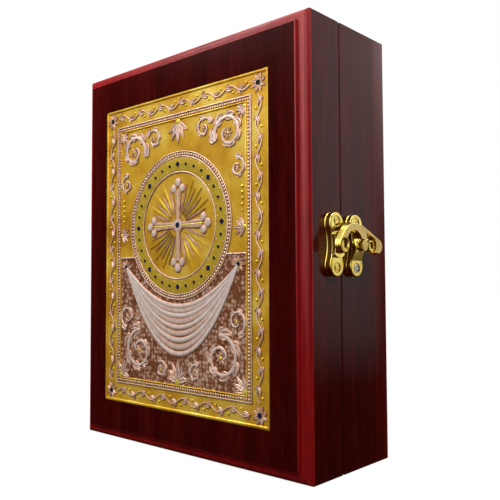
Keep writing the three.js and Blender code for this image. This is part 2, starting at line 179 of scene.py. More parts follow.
strength = calculate(sky, "MULTIPLY_ADD", seen(sky, path), 1 - FILL_STRENGTH, FILL_STRENGTH)
sky.links.new(strength, sky.nodes["Background"].inputs["Strength"])
sky.nodes["Background"].inputs["Color"].default_value = (1, 1, 1, 1)
print("fill light", FILL_STRENGTH)

# %% Floor
MM = 0.001
FLOOR_RADIUS = 4.0
FLOOR_SIDES = 96
FLOOR_COLOUR = (0.12, 0.12, 0.12, 1)
NEAR_GLOW, FAR_GLOW = 0.88, 1.0
GLOW_FROM, GLOW_TO = 0.35, 1.4


def ring(middle, radius, count, tilt=0.0):
    """Points round a circle, as pairs. The tilt turns the first one on."""
    turns = (tilt + 2 * math.pi * i / count for i in range(count))
    return [(middle[0] + radius * math.cos(t), middle[1] + radius * math.sin(t)) for t in turns]


def stage_ring(radius, z):
    """Points round a circle about the case, at a height."""
    return [Vector((x, y, z)) for x, y in ring((0, 0), radius, FLOOR_SIDES)]


def stage_piece(name, points, faces, material):
    mesh = bpy.data.meshes.new(name)
    mesh.from_pydata(points, [], faces)
    mesh.materials.append(material)
    piece = bpy.data.objects.new(name, mesh)
    bpy.context.scene.collection.objects.link(piece)
    print(name, len(faces), "faces")
    return piece


def floor_finish():
    material, tree, shader, place = new_finish("pale_floor", Roughness=0.9)
    shader.inputs["Base Color"].default_value = FLOOR_COLOUR
    shader.inputs["Specular IOR Level"].default_value = 0.0
    shader.inputs["Emission Color"].default_value = (1, 1, 1, 1)
    rays = tree.nodes.new("ShaderNodeLightPath").outputs
    away = tree.nodes.new("ShaderNodeVectorMath")
    away.operation = "LENGTH"
    tree.links.new(place, away.inputs[0])
    level = add(
        tree, "ShaderNodeMapRange", Value=away.outputs["Value"], From_Min=GLOW_FROM, From_Max=GLOW_TO,
        To_Min=NEAR_GLOW, To_Max=FAR_GLOW)
    glow = calculate(tree, "MULTIPLY", seen(tree, rays), level.outputs["Result"])
    tree.links.new(glow, shader.inputs["Emission Strength"])
    return material


stage_piece("floor", stage_ring(FLOOR_RADIUS, 0.0), [range(FLOOR_SIDES)], floor_finish())

# %% Reflection screen
SCREEN_RADIUS = 0.27
SCREEN_FOOT = MM / 4
SCREEN_HEIGHT = 0.6
LIT_HEIGHT = 0.42
SCREEN_STOPS = ((0.04, 0.0), (0.10, 0.25), (0.15, 0.5), (0.25, 0.7), (0.33, 0.85), (0.75, 1.0))
SCREEN_DIM = (0.05, 0.018, 0.008, 1)
SOFT_EDGE = 4
# Where each bright panel stands and its half width, both in degrees, how bright it is, and
# between which shares of the lit height it fades in.
SCREEN_PANELS = (
    (35.5, 9.5, 1.05, -1, 0),
    (87, 22, 0.95, -1, 0),
    (82, 39, 1.75, 0.3, 0.72),
    (-58, 34, 2.4, -0.15, 0.75),
)


def screen_finish():
    material = bpy.data.materials.new("reflection_screen")
    material.use_nodes = True
    tree = material.node_tree
    tree.nodes.remove(tree.nodes["Principled BSDF"])
    place = tree.nodes.new("ShaderNodeTexCoord").outputs["Object"]
    height = add(tree, "ShaderNodeSeparateXYZ", Vector=place).outputs["Z"]
    share = calculate(tree, "DIVIDE", height, LIT_HEIGHT)
    strength = 0.0
    for heading, half_width, bright, low, high in SCREEN_PANELS:
        way = math.radians(heading)
        toward = tree.nodes.new("ShaderNodeVectorMath")
        toward.operation = "DOT_PRODUCT"
        tree.links.new(place, toward.inputs[0])
        toward.inputs[1].default_value = (math.cos(way) / SCREEN_RADIUS, math.sin(way) / SCREEN_RADIUS, 0)
        edges = [math.cos(math.radians(half_width + side * SOFT_EDGE)) for side in (1, -1)]
        panel = add(
            tree, "ShaderNodeMapRange", Value=toward.outputs["Value"], From_Min=edges[0], From_Max=edges[1],
            To_Min=0.0, To_Max=bright)
        fade = add(tree, "ShaderNodeMapRange", Value=share, From_Min=low, From_Max=high)
        level = calculate(tree, "MULTIPLY", panel.outputs["Result"], fade.outputs["Result"])
        strength = calculate(tree, "MAXIMUM", level, strength)
    rise = ramp(tree, share, *((at, (grey,) * 3) for at, grey in SCREEN_STOPS))
    bright = add(tree, "ShaderNodeEmission", Color=rise, Strength=strength).outputs["Emission"]
    dim = add(tree, "ShaderNodeEmission", Color=SCREEN_DIM).outputs["Emission"]
    both = tree.nodes.new("ShaderNodeAddShader")
    tree.links.new(bright, both.inputs[0])
    tree.links.new(dim, both.inputs[1])
    tree.links.new(both.outputs["Shader"], tree.nodes["Material Output"].inputs["Surface"])
    return material


foot = stage_ring(SCREEN_RADIUS, SCREEN_FOOT)
head = stage_ring(SCREEN_RADIUS, SCREEN_HEIGHT)
around = [(i, (i + 1) % FLOOR_SIDES) for i in range(FLOOR_SIDES)]
panels = [(a, b, b + FLOOR_SIDES, a + FLOOR_SIDES) for a, b in around]
screen = stage_piece("reflection_screen", foot + head, [*panels, range(FLOOR_SIDES)], screen_finish())
screen.visible_camera = False
screen.visible_diffuse = False
screen.visible_shadow = False
screen.visible_transmission = False

# %% [markdown]
# ## Lamps
# Large soft lamps give soft shadows and long, calm highlights. The key stands high at the left
# front, so the front board is the brighter face and the side with the catch falls off.
# A weaker one above the camera lights the rounded edge of the front board. A lamp overhead
# lifts the top of the case, and a small near one at the side makes its light fall off downwards.

# %% Lamps
AIM = Vector((0.0, 0.0, 0.13))


def soft_lamp(name, at, size, watts):
    """A square lamp that is aimed at the middle of the case."""
    lamp = bpy.data.lights.new(name, "AREA")
    lamp.size = size
    lamp.energy = watts
    holder = bpy.data.objects.new(name, lamp)
    holder.location = at
    holder.rotation_euler = (AIM - Vector(at)).to_track_quat("-Z", "Y").to_euler()
    bpy.context.scene.collection.objects.link(holder)
    print(name, watts, "W")


soft_lamp("key", (-0.46, -0.44, 0.8), 0.4, 11.5)
soft_lamp("camera_side", (0.3, -0.75, 0.8), 0.3, 3.2)
soft_lamp("overhead", (0.15, 0.05, 0.9), 0.5, 4.5)
soft_lamp("side", (0.36, 0.0, 0.5), 0.25, 1.8)

# %% [markdown]
# ## Building a mesh
# Most pieces here are lofts: a loop of points is repeated along the piece and faces are laid
# between the loops. A board's loops are rectangles that shrink towards its face, a turned
# piece's are circles, and an ornament's ridge is drawn along a curve. Smooth shading is kept
# within a surface and broken where two faces meet at a corner.

# %% Mesh helpers
CORNER = math.radians(32)
TOUCHING = MM / 1000


def make_piece(name, body, points, faces, finishes, slots=None):
    """An object with this mesh, in the row frame, that rides on a body."""
    mesh = bpy.data.meshes.new(name)
    mesh.from_pydata([tuple(point) for point in points], [], faces)
    for finish in finishes:
        mesh.materials.append(finish)
    if slots:
        mesh.polygons.foreach_set("material_index", slots)
    return dress(name, body, mesh)


def dress(name, body, mesh):
    """Turn the faces outwards, shade the mesh, and let it ride on its body."""
    work = bmesh.new()
    work.from_mesh(mesh)
    bmesh.ops.remove_doubles(work, verts=work.verts, dist=TOUCHING)
    bmesh.ops.recalc_face_normals(work, faces=work.faces)
    work.to_mesh(mesh)
    work.free()
    mesh.shade_smooth()
    mesh.set_sharp_from_angle(angle=CORNER)
    piece = bpy.data.objects.new(name, mesh)
    bpy.context.scene.collection.objects.link(piece)
    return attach(piece, body)


def loft(loops, ends=True):
    """Points and faces of loops joined in a row, with the first and the last one filled."""
    count = len(loops[0])
    points = [point for loop in loops for point in loop]
    faces = []
    for start in range(0, len(points) - count, count):
        for i in range(count):
            a, b = start + i, start + (i + 1) % count
            faces.append((a, b, b + count, a + count))
    if ends:
        faces.append(tuple(range(count)))
        faces.append(tuple(range(len(points) - count, len(points))))
    return points, faces


def arc(middle, radius, start, end, steps):
    """Points along an arc, with its angles in degrees."""
    angles = (math.radians(start + (end - start) * i / steps) for i in range(steps + 1))
    return [(middle[0] + radius * math.cos(t), middle[1] + radius * math.sin(t)) for t in angles]


# %% [markdown]
# ## Dark veneer and red stain
# The case is veneered in a dark wine-red wood with its grain upright, and its mouldings are
# solid wood stained a warmer red. Both lie under a clear polish. The figure of the wood is
# noise drawn out along the grain: broad bands, fine lines and short open pores. The pores are
# also slightly sunk. Upright and level rails need one finish each, because grain follows
# the length of a rail and turns at the mitre.

# %% Wood finishes
BAND = 0.012
LINE = 0.0016
PORE = 0.0005
GRAIN_STRETCH = 0.06
PORE_STRETCH = 0.035
PORE_DEPTH = 0.00002
BAND_SHARE = 0.55
PORE_SHADE = 0.7


def wood(name, grain, dark, middle, light, polish):
    """Polished wood whose grain runs along X, Y or Z."""
    material, tree, shader, place = new_finish(name, **polish)
    drawn = [GRAIN_STRETCH if axis == grain else 1 for axis in "XYZ"]
    short = [PORE_STRETCH if axis == grain else 1 for axis in "XYZ"]
    along = stretched(tree, place, drawn)
    bands = noise(tree, along, BAND, 4, 0.6)
    lines = noise(tree, along, LINE, 3, 0.7)
    pores = noise(tree, stretched(tree, place, short), PORE, 2)
    broad = calculate(tree, "MULTIPLY", bands, BAND_SHARE)
    figure = calculate(tree, "MULTIPLY_ADD", lines, 1 - BAND_SHARE, broad)
    colour = ramp(tree, figure, (0.36, dark), (0.5, middle), (0.64, light))
    open_pore = ramp(tree, pores, (0.30, (0.35,) * 3), (0.42, (1,) * 3))
    shaded = tree.nodes.new("ShaderNodeMix")
    shaded.data_type = "RGBA"
    shaded.blend_type = "MULTIPLY"
    shaded.inputs[0].default_value = PORE_SHADE
    tree.links.new(colour, shaded.inputs[6])
    tree.links.new(open_pore, shaded.inputs[7])
    tree.links.new(shaded.outputs[2], shader.inputs["Base Color"])
    bump(tree, shader, pores, PORE_DEPTH, 0.5)
    return material


SATIN = {"Roughness": 0.16, "Specular_IOR_Level": 0.17}
GLOSS = {"Roughness": 0.3, "Specular_IOR_Level": 0.2, "Coat_Weight": 0.3, "Coat_Roughness": 0.14}
VENEER = ((0.019, 0.0005, 0.0005), (0.036, 0.0011, 0.0011), (0.057, 0.003, 0.0027))
STAIN = ((0.16, 0.0015, 0.002), (0.23, 0.003, 0.0038), (0.3, 0.0065, 0.007))
DEEP_STAIN = ((0.043, 0.001, 0.001), (0.062, 0.0018, 0.0018), (0.088, 0.0037, 0.0037))

veneer_upright = wood("veneer_upright", "Z", *VENEER, SATIN)
veneer_level = wood("veneer_level", "X", *VENEER, SATIN)
moulding_stain = wood("moulding_stain", "Z", *STAIN, GLOSS)
back_stain = wood("back_stain", "Z", *DEEP_STAIN, SATIN)
print("wood finishes:", veneer_upright.name, veneer_level.name, moulding_stain.name, back_stain.name)

# %% [markdown]
# ## Front board
# The front board is one piece with a stepped and rounded edge all round, cut with a moulding
# cutter, and a shallow recess for the plate. Its cross-section is drawn once, from the back
# edge to the face, and a rectangle is laid at each of its points. The step is deep and its
# arris is eased, so it shows as a dark line with a thin highlight beside it.

# %% Front board
QUIRK = 0.5 * MM
STEP_DROP = 1.6 * MM
MOULDING_WIDTH = 6 * MM
MOULDING_EDGE = 0.4 * MM
ARRIS = 0.9 * MM
ROUND_STEPS = 14
ARRIS_STEPS = 6
RECESS_CLEARANCE = 0.15 * MM
RECESS_DEPTH = 1.5 * MM

board_low, board_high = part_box("front_board")
plate_low, plate_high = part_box("icon_plate")


def case_loop(inset, y, low=board_low, high=board_high):
    """A rectangle round the case, drawn in by an inset, at a depth."""
    left, right = low.x + inset, high.x - inset
    bottom, top = low.z + inset, high.z - inset
    return [Vector((x, y, z)) for x, z in ((left, bottom), (right, bottom), (right, top), (left, top))]


def front_board():
    front, back = board_low.y, board_high.y
    reach = MOULDING_WIDTH - QUIRK
    depth = back - front - STEP_DROP - MOULDING_EDGE
    turns = [math.radians(90 * i / ROUND_STEPS) for i in range(ROUND_STEPS, -1, -1)]
    rounded = [(reach * (1 - math.sin(t)), front + STEP_DROP + depth * (1 - math.cos(t))) for t in turns]
    arris = arc((MOULDING_WIDTH + ARRIS, front + ARRIS), ARRIS, 180, 270, ARRIS_STEPS)
    section = [(0, back), *rounded, (MOULDING_WIDTH, front + STEP_DROP), *arris]
    loops = [case_loop(inset, y) for inset, y in section]
    stained = 4 * (len(section) - 2)
    loops += [case_loop(-RECESS_CLEARANCE, y, plate_low, plate_high) for y in (front, front + RECESS_DEPTH)]
    points, faces = loft(loops)
    slots = [1 if i < stained else 0 for i in range(len(faces))]
    board = make_piece("front_board_moulded", "lid", points, faces, [veneer_upright, moulding_stain], slots)
    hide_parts("front_board")
    print("front board", len(faces), "faces,", stained, "of them stained")


front_board()

# %% [markdown]
# ## Rails and back board
# The rails are already right in the CAD model: straight, mitred and flush. They only need the
# veneer, with the grain along each rail. The back board is solid wood, stained red, and its
# back edge is eased with a small round, so it is lofted again with more steps.

# %% Rails
for half in ("base", "lid"):
    for side in ("clasp_side", "hinge_side", "top", "bottom"):
        rail = frame["nodes"][f"{half}_rail_{side}"]
        level = side in ("top", "bottom")
        rail.data.materials.clear()
        rail.data.materials.append(veneer_level if level else veneer_upright)
        print(rail.name, "has level grain" if level else "has upright grain")

# %% Back board
BACK_ROUND = 1.5 * MM
BACK_ROUND_STEPS = 8


def back_board():
    low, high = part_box("back_board")
    eased = arc((BACK_ROUND, high.y - BACK_ROUND), BACK_ROUND, 180, 90, BACK_ROUND_STEPS)
    loops = [case_loop(inset, y) for inset, y in ((0, low.y), *eased)]
    points, faces = loft(loops)
    board = make_piece("back_board_eased", "base", points, faces, [back_stain])
    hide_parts("back_board")
    print("back board", len(faces), "faces")


back_board()

# %% [markdown]
# ## Gold, rose silver and blue
# The plate on the front is stamped metal: a gold ground with a fine punched texture, a
# raised ornament plated in silver with a rose cast, and small dark blue stones. The colour of
# the ornament is read off its height above the ground: brown in the hollows, as tarnish and as
# painted shade, and near white on the tops, as rubbed metal and as a painted highlight. So
# every leaf and bead carries this painted light by its own form.
# The lower ground is silver too, punched all over with small scales, with a painted highlight
# on each scale and painted shade and tarnish between them.

# %% Plate finishes
GROUND_SINK = 0.8 * MM
RELIEF = 0.72 * MM
PUNCH = 0.0011
PUNCH_DEPTH = 0.00005
GOLD_CLOUD = 0.03
TARNISH = 0.004
TARNISH_SHARE, TARNISH_SHIFT = 0.5, -0.27
PITTING = 0.0007
SCALE = 0.0026
SCALE_DEPTH = 0.00022
SCALE_CLOUD = 0.012

ground_y = board_low.y + GROUND_SINK
METAL_LEAF = {"Metallic": 0.5, "Roughness": 0.3, "Specular_IOR_Level": 0.4}


def relief_height(tree, place):
    """0 at the ground of the plate and 1 at the top of the ornament."""
    depth = add(tree, "ShaderNodeSeparateXYZ", Vector=place).outputs["Y"]
    return calculate(tree, "DIVIDE", calculate(tree, "SUBTRACT", ground_y, depth), RELIEF)


def stamped_metal_with_painted_shade(name, *stops):
    """Plated metal coloured by its height: brown in the hollows, as tarnish and painted shade,
    and near white on the tops, as rubbed metal and a painted highlight.
    """
    material, tree, shader, place = new_finish(name, **METAL_LEAF)
    height = relief_height(tree, place)
    uneven = calculate(tree, "MULTIPLY_ADD", noise(tree, place, TARNISH), TARNISH_SHARE, TARNISH_SHIFT)
    # The colour by height is painted shade in the hollows and a painted highlight on the tops, as well as
    # tarnish and rubbing.
    colour = ramp(tree, calculate(tree, "ADD", height, uneven), *stops)
    tree.links.new(colour, shader.inputs["Base Color"])
    bump(tree, shader, noise(tree, place, PITTING), PUNCH_DEPTH / 2, 0.6)
    return material


def punched_gold():
    material, tree, shader, place = new_finish("punched_gold", **METAL_LEAF)
    cloud = noise(tree, place, GOLD_CLOUD, 4, 0.6)
    colour = ramp(
        tree, cloud, (0.32, (0.55, 0.25, 0.014)), (0.5, (0.82, 0.47, 0.035)), (0.66, (0.96, 0.7, 0.12)))
    tree.links.new(colour, shader.inputs["Base Color"])
    punches = add(tree, "ShaderNodeTexVoronoi", Vector=place, Scale=1 / PUNCH)
    bump(tree, shader, punches.outputs["Distance"], PUNCH_DEPTH, 0.5)
    return material


def scaled_silver_with_painted_shade():
    """Silver punched with scales: bright in their middles, as a painted highlight, and brown
    between them, as tarnish and painted shade.
    """
    material, tree, shader, place = new_finish("scaled_silver_with_painted_shade", **METAL_LEAF)
    scales = add(tree, "ShaderNodeTexVoronoi", Vector=place, Scale=1 / SCALE, Randomness=0.55)
    uneven = calculate(tree, "MULTIPLY_ADD", noise(tree, place, SCALE_CLOUD), 0.8, -0.4)
    depth = calculate(tree, "ADD", scales.outputs["Distance"], uneven)
    # A painted highlight in the middle of each scale, and painted shade with tarnish between them.
    colour = ramp(
        tree, depth, (0.18, (0.86, 0.64, 0.54)), (0.42, (0.62, 0.34, 0.22)), (0.66, (0.24, 0.085, 0.035)))
    tree.links.new(colour, shader.inputs["Base Color"])
    bump(tree, shader, calculate(tree, "SUBTRACT", 1, scales.outputs["Distance"]), SCALE_DEPTH, 0.7)
    return material


# Both ornament metals carry painted shade in their hollows and a painted highlight on their tops.
rose_silver = stamped_metal_with_painted_shade(
    "rose_silver", (0.12, (0.05, 0.014, 0.005)), (0.42, (0.48, 0.2, 0.1)),
    (0.7, (0.82, 0.54, 0.41)), (0.95, (0.96, 0.84, 0.78)))
raised_gold = stamped_metal_with_painted_shade(
    "raised_gold", (0.05, (0.13, 0.05, 0.004)), (0.3, (0.6, 0.38, 0.03)), (0.8, (0.82, 0.68, 0.07)))
blue_stone, _, stone_shader, _ = new_finish("blue_stone", Roughness=0.12, Coat_Weight=0.6)
stone_shader.inputs["Base Color"].default_value = (0.008, 0.01, 0.05, 1)
gold_ground = punched_gold()
PLATE_FINISHES = [gold_ground, rose_silver, raised_gold, blue_stone, scaled_silver_with_painted_shade()]
GOLD, SILVER, BRIGHT, STONE, SCALES = range(5)

# %% [markdown]
# ## How the ornament is drawn
# Each motif is a loft of closed loops that stand on the ground of the plate. A ridge follows a
# curve, a leaf is a ridge with a swelling outline and a sunk vein, and a bead is a small dome.
# All are drawn with the same few helpers, in millimetres from the middle of the plate,
# and gathered in one mesh, so a whole border is a loop over places.

# %% Sections and profiles
SUNK = -0.15


def section(*half):
    """A section of (aside, rise) shares, from its left half. Its foot is sunk in the ground."""
    left = [(-1, SUNK), *half]
    return [*left, *((-aside, rise) for aside, rise in reversed(left) if aside)]


RIDGE_SECTION = section((-0.95, 0.3), (-0.6, 0.82), (0, 1))
LEAF_SECTION = section((-0.93, 0.3), (-0.6, 0.9), (-0.2, 0.8), (0, 0.35))
BAND_SECTION = section((-0.97, 0.8), (-0.9, 1))
BEAD_PROFILE = ((1, SUNK), (0.96, 0.35), (0.78, 0.72), (0.42, 0.95), (0.12, 1))
COLLAR_PROFILE = ((1.35, SUNK), (1.323, 0.55), (1.0125, 0.6))
STONE_PROFILE = ((1, 0.4), (0.96, 0.75), (0.5, 1.0))
print("points in a ridge, a leaf and a band:", len(RIDGE_SECTION), len(LEAF_SECTION), len(BAND_SECTION))

# %% Ornament helpers
plate_middle = (plate_low + plate_high) / 2


class Ornament:
    """Raised motifs in one mesh. Places are (across, up) from the plate's middle, in mm."""

    def __init__(self):
        self.points, self.faces, self.slots = [], [], []

    def keep(self, loops, slot, ends=True):
        points, faces = loft(loops, ends)
        start = len(self.points)
        for across, up, height in points:
            x, z = plate_middle.x + across * MM, plate_middle.z + up * MM
            self.points.append(Vector((x, ground_y - height * RELIEF, z)))
        self.faces += [tuple(start + i for i in face) for face in faces]
        self.slots += [slot] * len(faces)

    def ridge(self, path, width, height=1.0, slot=SILVER, section=RIDGE_SECTION, closed=False):
        """A ridge along a path. Its half width is a number or one number for each point."""
        count = len(path)
        widths = width if isinstance(width, (list, tuple)) else [width] * count
        loops = []
        for i, (across, up) in enumerate(path):
            before = path[(i - 1) % count] if closed or i else path[0]
            after = path[(i + 1) % count] if closed or i < count - 1 else path[-1]
            turn = Vector((after[0] - before[0], after[1] - before[1])).normalized()
            mitre = 1.0
            if before != path[i] != after:
                first = Vector((across - before[0], up - before[1])).normalized()
                mitre = 1 / max(0.5, first.dot(turn))
            reach = widths[i] * mitre
            loops.append([
                (across - turn.y * reach * out, up + turn.x * reach * out, height * rise)
                for out, rise in section])
        if closed:
            loops.append(loops[0])
        self.keep(loops, slot, ends=not closed)

    def leaf(self, root, heading, length, width, height=1.0, curl=0.0, slot=SILVER, steps=9):
        """A pointed leaf with a sunk vein. Heading and curl are in degrees."""
        loops = []
        across, up = root
        for i in range(steps + 1):
            share = i / steps
            way = math.radians(heading + curl * share)
            swell = math.sin(math.pi * min(1, 0.08 + 0.9 * share ** 0.85))
            rise = height * (0.45 + 0.55 * math.sin(math.pi * (0.15 + 0.7 * share)))
            side = width * max(0.04, swell)
            loops.append([
                (across - math.sin(way) * side * out, up + math.cos(way) * side * out, rise * top)
                for out, top in LEAF_SECTION])
            across += math.cos(way) * length / steps
            up += math.sin(way) * length / steps
        self.keep(loops, slot)

    def dome(self, profile, at, radius, height, slot, sides, tilt=0.0):
        """Rings of (size, rise) shares about a point, one on another."""
        self.keep([
            [(*point, height * rise) for point in ring(at, radius * size, sides, tilt)]
            for size, rise in profile], slot)

    def bead(self, at, radius, height=1.0, slot=SILVER, sides=10):
        self.dome(BEAD_PROFILE, at, radius, height, slot, sides)

    def stone(self, at, size, corners=4, tilt=0.0):
        """A cut stone in a raised collar."""
        self.dome(COLLAR_PROFILE, at, size, 1.0, BRIGHT, corners, tilt)
        self.dome(STONE_PROFILE, at, size, 1.0, STONE, corners, tilt)

    def rosette(self, at, radius, petals, tilt=0.0):
        """Petals round a bead."""
        petal_width = 1.25 * radius / petals ** 0.5 / 2
        for i, root in enumerate(ring(at, 0.2 * radius, petals, math.radians(tilt))):
            self.leaf(root, tilt + 360 * i / petals, 0.85 * radius, petal_width, 0.85, steps=6)
        self.bead(at, 0.3 * radius, 1.0, BRIGHT)


def box_path(half_across, half_up, step):
    """Points round a rectangle about the middle, roughly one step apart."""
    corners = [(half_across * x, half_up * z) for x, z in ((-1, -1), (1, -1), (1, 1), (-1, 1))]
    path = []
    for start, end in zip(corners, corners[1:] + corners[:1]):
        length = math.dist(start, end)
        count = max(1, round(length / step))
        path += [tuple(a + (b - a) * i / count for a, b in zip(start, end)) for i in range(count)]
    return path


print("ornament helpers are ready")

# %% [markdown]
# ## The border
# A waving stem with leaves runs round the plate between two plain fillets and a row of
# beads, with a rosette at each corner. The wave is a sine drawn along each side, with a whole
# number of waves, so that all four sides meet the corners alike.

# %% Border
HALF_ACROSS = (plate_high.x - plate_low.x) / MM / 2
HALF_UP = (plate_high.z - plate_low.z) / MM / 2
BORDER_MIDDLE = 7.4
BORDER_END = 13.4
ROW_INSET = BORDER_END + 1.7
ROW_STEP = 2.0
FIELD_INSET = BORDER_END + 3.3
# How far each plain fillet lies in from the edge, its half width and its metal.
FILLETS = ((1.2, 0.9, GOLD), (BORDER_END, 0.5, SILVER), (FIELD_INSET, 0.45, GOLD))
WAVE = 2.1
WAVES_ACROSS, WAVES_UP = 6, 8
STEM_LEAF = 5.6
CORNER_ROSETTE = 5.6
CORNER_ROOM = 6.5


def border_side(ornament, start, end, waves):
    """A waving stem from one corner to the next, with a leaf and a bud in each hollow."""
    length = math.dist(start, end)
    along = ((end[0] - start[0]) / length, (end[1] - start[1]) / length)
    out = (-along[1], along[0])

    def place(distance, aside):
        return tuple(start[i] + along[i] * distance + out[i] * aside for i in (0, 1))

    steps = 16 * waves
    turn = 2 * math.pi * waves
    stem = [place(length * i / steps, WAVE * math.sin(turn * i / steps)) for i in range(steps + 1)]
    ornament.ridge(stem, 0.55, 0.8)
    heading = math.degrees(math.atan2(along[1], along[0]))
    for i in range(2 * waves):
        side = 1 if i % 2 == 0 else -1
        middle = length * (i + 0.5) / (2 * waves)
        quarter = length / waves / 4
        root = place(middle - 0.72 * quarter, side * WAVE * 0.62)
        ornament.leaf(root, heading - side * 34, STEM_LEAF, 1.35, 0.95, curl=side * 40)
        ornament.leaf(root, heading + side * 62, 0.55 * STEM_LEAF, 0.85, 0.85, curl=-side * 30)
        ornament.bead(place(middle + 0.45 * quarter, -side * WAVE * 0.95), 0.8, 0.9, BRIGHT)


def border(ornament):
    across, up = HALF_ACROSS - BORDER_MIDDLE, HALF_UP - BORDER_MIDDLE
    for x in (-across, across):
        for z in (-up, up):
            ornament.rosette((x, z), CORNER_ROSETTE, 8, 22.5)
            ornament.stone((x, z), 1.7, 8)
    level, upright = across - CORNER_ROOM, up - CORNER_ROOM
    for way in (1, -1):
        border_side(ornament, (-way * level, way * up), (way * level, way * up), WAVES_ACROSS)
        border_side(ornament, (-way * across, -way * upright), (-way * across, way * upright), WAVES_UP)
    for inset, width, slot in FILLETS:
        path = box_path(HALF_ACROSS - inset, HALF_UP - inset, 20)
        ornament.ridge(path, width, 0.9, slot, closed=True)
    row = box_path(HALF_ACROSS - ROW_INSET, HALF_UP - ROW_INSET, ROW_STEP)
    for at in row:
        ornament.bead(at, 0.82, 0.9, sides=8)
    print("border:", len(row), "beads")


ornament = Ornament()
border(ornament)

# %% [markdown]
# ## The round medallion
# The middle of the upper part holds a wide gold ring set with dark stones between two rows
# of beads. In it stands an old and common form of cross with equal arms and three buds at
# each end, with rays between the arms.

# %% Medallion
MEDALLION = (0, 16)
RING_OUTER = 42.5
RING_INNER = 33.5
RING_STEPS = 120
RING_BEADS = 132
STONES = 32
ARM = 22.0
ARM_STEPS = 10
RAYS = 7
RAY_SPACING = 8.6
RAY_ROOT = 7.5
LONG_RAY, SHORT_RAY = 22.5, 18.5


def cross_arm(ornament, middle, heading):
    way = math.radians(heading)
    ahead, aside = (math.cos(way), math.sin(way)), (-math.sin(way), math.cos(way))

    def place(far, side=0.0):
        return tuple(middle[i] + ahead[i] * far + aside[i] * side for i in (0, 1))

    shares = [i / ARM_STEPS for i in range(ARM_STEPS + 1)]
    spine = [place(ARM * share) for share in shares]
    ornament.ridge(spine, [2.3 + 1.5 * share ** 2 for share in shares], 0.8, section=LEAF_SECTION)
    ornament.ridge([place(ARM * i / 6) for i in range(1, 7)], 0.5, 0.98, BRIGHT)
    for far, side, radius in ((ARM + 4.4, 0, 3.2), (ARM + 0.8, 3.9, 2.9), (ARM + 0.8, -3.9, 2.9)):
        ornament.bead(place(far, side), radius, 0.95, sides=18)
        ornament.bead(place(far, side), 0.35 * radius, 1.0, BRIGHT)


def medallion(ornament):
    band = (RING_OUTER + RING_INNER) / 2
    half = (RING_OUTER - RING_INNER) / 2
    ornament.ridge(ring(MEDALLION, band, RING_STEPS), half, 0.42, BRIGHT, BAND_SECTION, closed=True)
    for radius, width in ((RING_INNER - 0.4, 0.55), (RING_OUTER + 0.2, 0.5), (RING_OUTER + 3.2, 0.45)):
        ornament.ridge(ring(MEDALLION, radius, RING_STEPS), width, 0.85, closed=True)
    for at in ring(MEDALLION, RING_OUTER + 1.7, RING_BEADS):
        ornament.bead(at, 0.85, 0.95, sides=8)
    for i, at in enumerate(ring(MEDALLION, band, STONES)):
        if i % 4:
            ornament.stone(at, 1.15, 8)
        else:
            ornament.stone(at, 2.1, 4, 2 * math.pi * i / STONES)
    for radius in (RING_INNER + 1.5, RING_OUTER - 1.5):
        for at in ring(MEDALLION, radius, STONES, math.pi / STONES):
            ornament.bead(at, 0.6, 0.75, sides=8)
    for quarter in range(4):
        cross_arm(ornament, MEDALLION, 90 * quarter)
        for i in range(RAYS):
            heading = 90 * quarter + 45 + (i - (RAYS - 1) / 2) * RAY_SPACING
            root = ring(MEDALLION, RAY_ROOT, 1, math.radians(heading))[0]
            far, slot = (LONG_RAY, BRIGHT) if i % 2 else (SHORT_RAY, SILVER)
            ornament.leaf(root, heading, far, 0.95, 0.8, slot=slot)
    ornament.bead(MEDALLION, 5.2, 0.9, sides=24)
    ornament.stone(MEDALLION, 2.6, 8)


medallion(ornament)
print("medallion:", STONES, "stones")

# %% [markdown]
# ## The field
# Below the medallion the ground rises to a silver panel. Folds of a gathered cloth hang over
# it between two rosettes. They are ridges that share their ends and sag by different amounts.
# Leafy scrolls and palmettes lie under them and fill the upper corners. What stands at the
# right side is drawn once, and its mirror image stands at the left side.

# %% Panel and folds
FIELD_ACROSS = HALF_ACROSS - FIELD_INSET
FIELD_UP = HALF_UP - FIELD_INSET
PANEL_REACH = RING_OUTER + 3.4
PANEL_TOP = -3.0
PANEL_HEIGHT = 0.2
FOLD_END = (51.0, -9.0)
FOLD_SAGS = (25.0, 27.8, 30.8, 34.2, 37.8, 41.6, 45.6, 49.8, 54.0)
FOLD_WIDTHS = (1.1, 1.45, 1.25, 1.7)
FOLD_STEPS = 60


def panel(ornament):
    """The raised ground below the medallion."""
    loops = []
    for i in range(FOLD_STEPS + 1):
        across = FIELD_ACROSS * (2 * i / FOLD_STEPS - 1)
        under = MEDALLION[1] - math.sqrt(max(0, PANEL_REACH ** 2 - across ** 2))
        top = min(PANEL_TOP, under)
        corners = ((-FIELD_UP, SUNK), (top, SUNK), (top, PANEL_HEIGHT), (-FIELD_UP, PANEL_HEIGHT))
        loops.append([(across, *corner) for corner in corners])
    ornament.keep(loops, SCALES)


def fold(ornament, sag, width, height):
    """One fold of the cloth, from rosette to rosette. It is widest where it hangs lowest."""
    shares = [2 * i / FOLD_STEPS - 1 for i in range(FOLD_STEPS + 1)]
    path = [(FOLD_END[0] * share, FOLD_END[1] - sag * (1 - share ** 2)) for share in shares]
    ornament.ridge(path, [0.7 + width * (1 - share ** 4) for share in shares], height)


panel(ornament)
edge = math.sqrt(PANEL_REACH ** 2 - (MEDALLION[1] - PANEL_TOP) ** 2)
for side in (1, -1):
    ornament.ridge([(side * edge, PANEL_TOP), (side * FIELD_ACROSS, PANEL_TOP)], 0.6, 0.9)
for i, sag in enumerate(FOLD_SAGS):
    fold(ornament, sag, FOLD_WIDTHS[i % len(FOLD_WIDTHS)], 1.0 - 0.13 * (i % 2))
print("panel with", len(FOLD_SAGS), "folds")

# %% Scrolls and palmettes
SCROLL_STEPS = 44
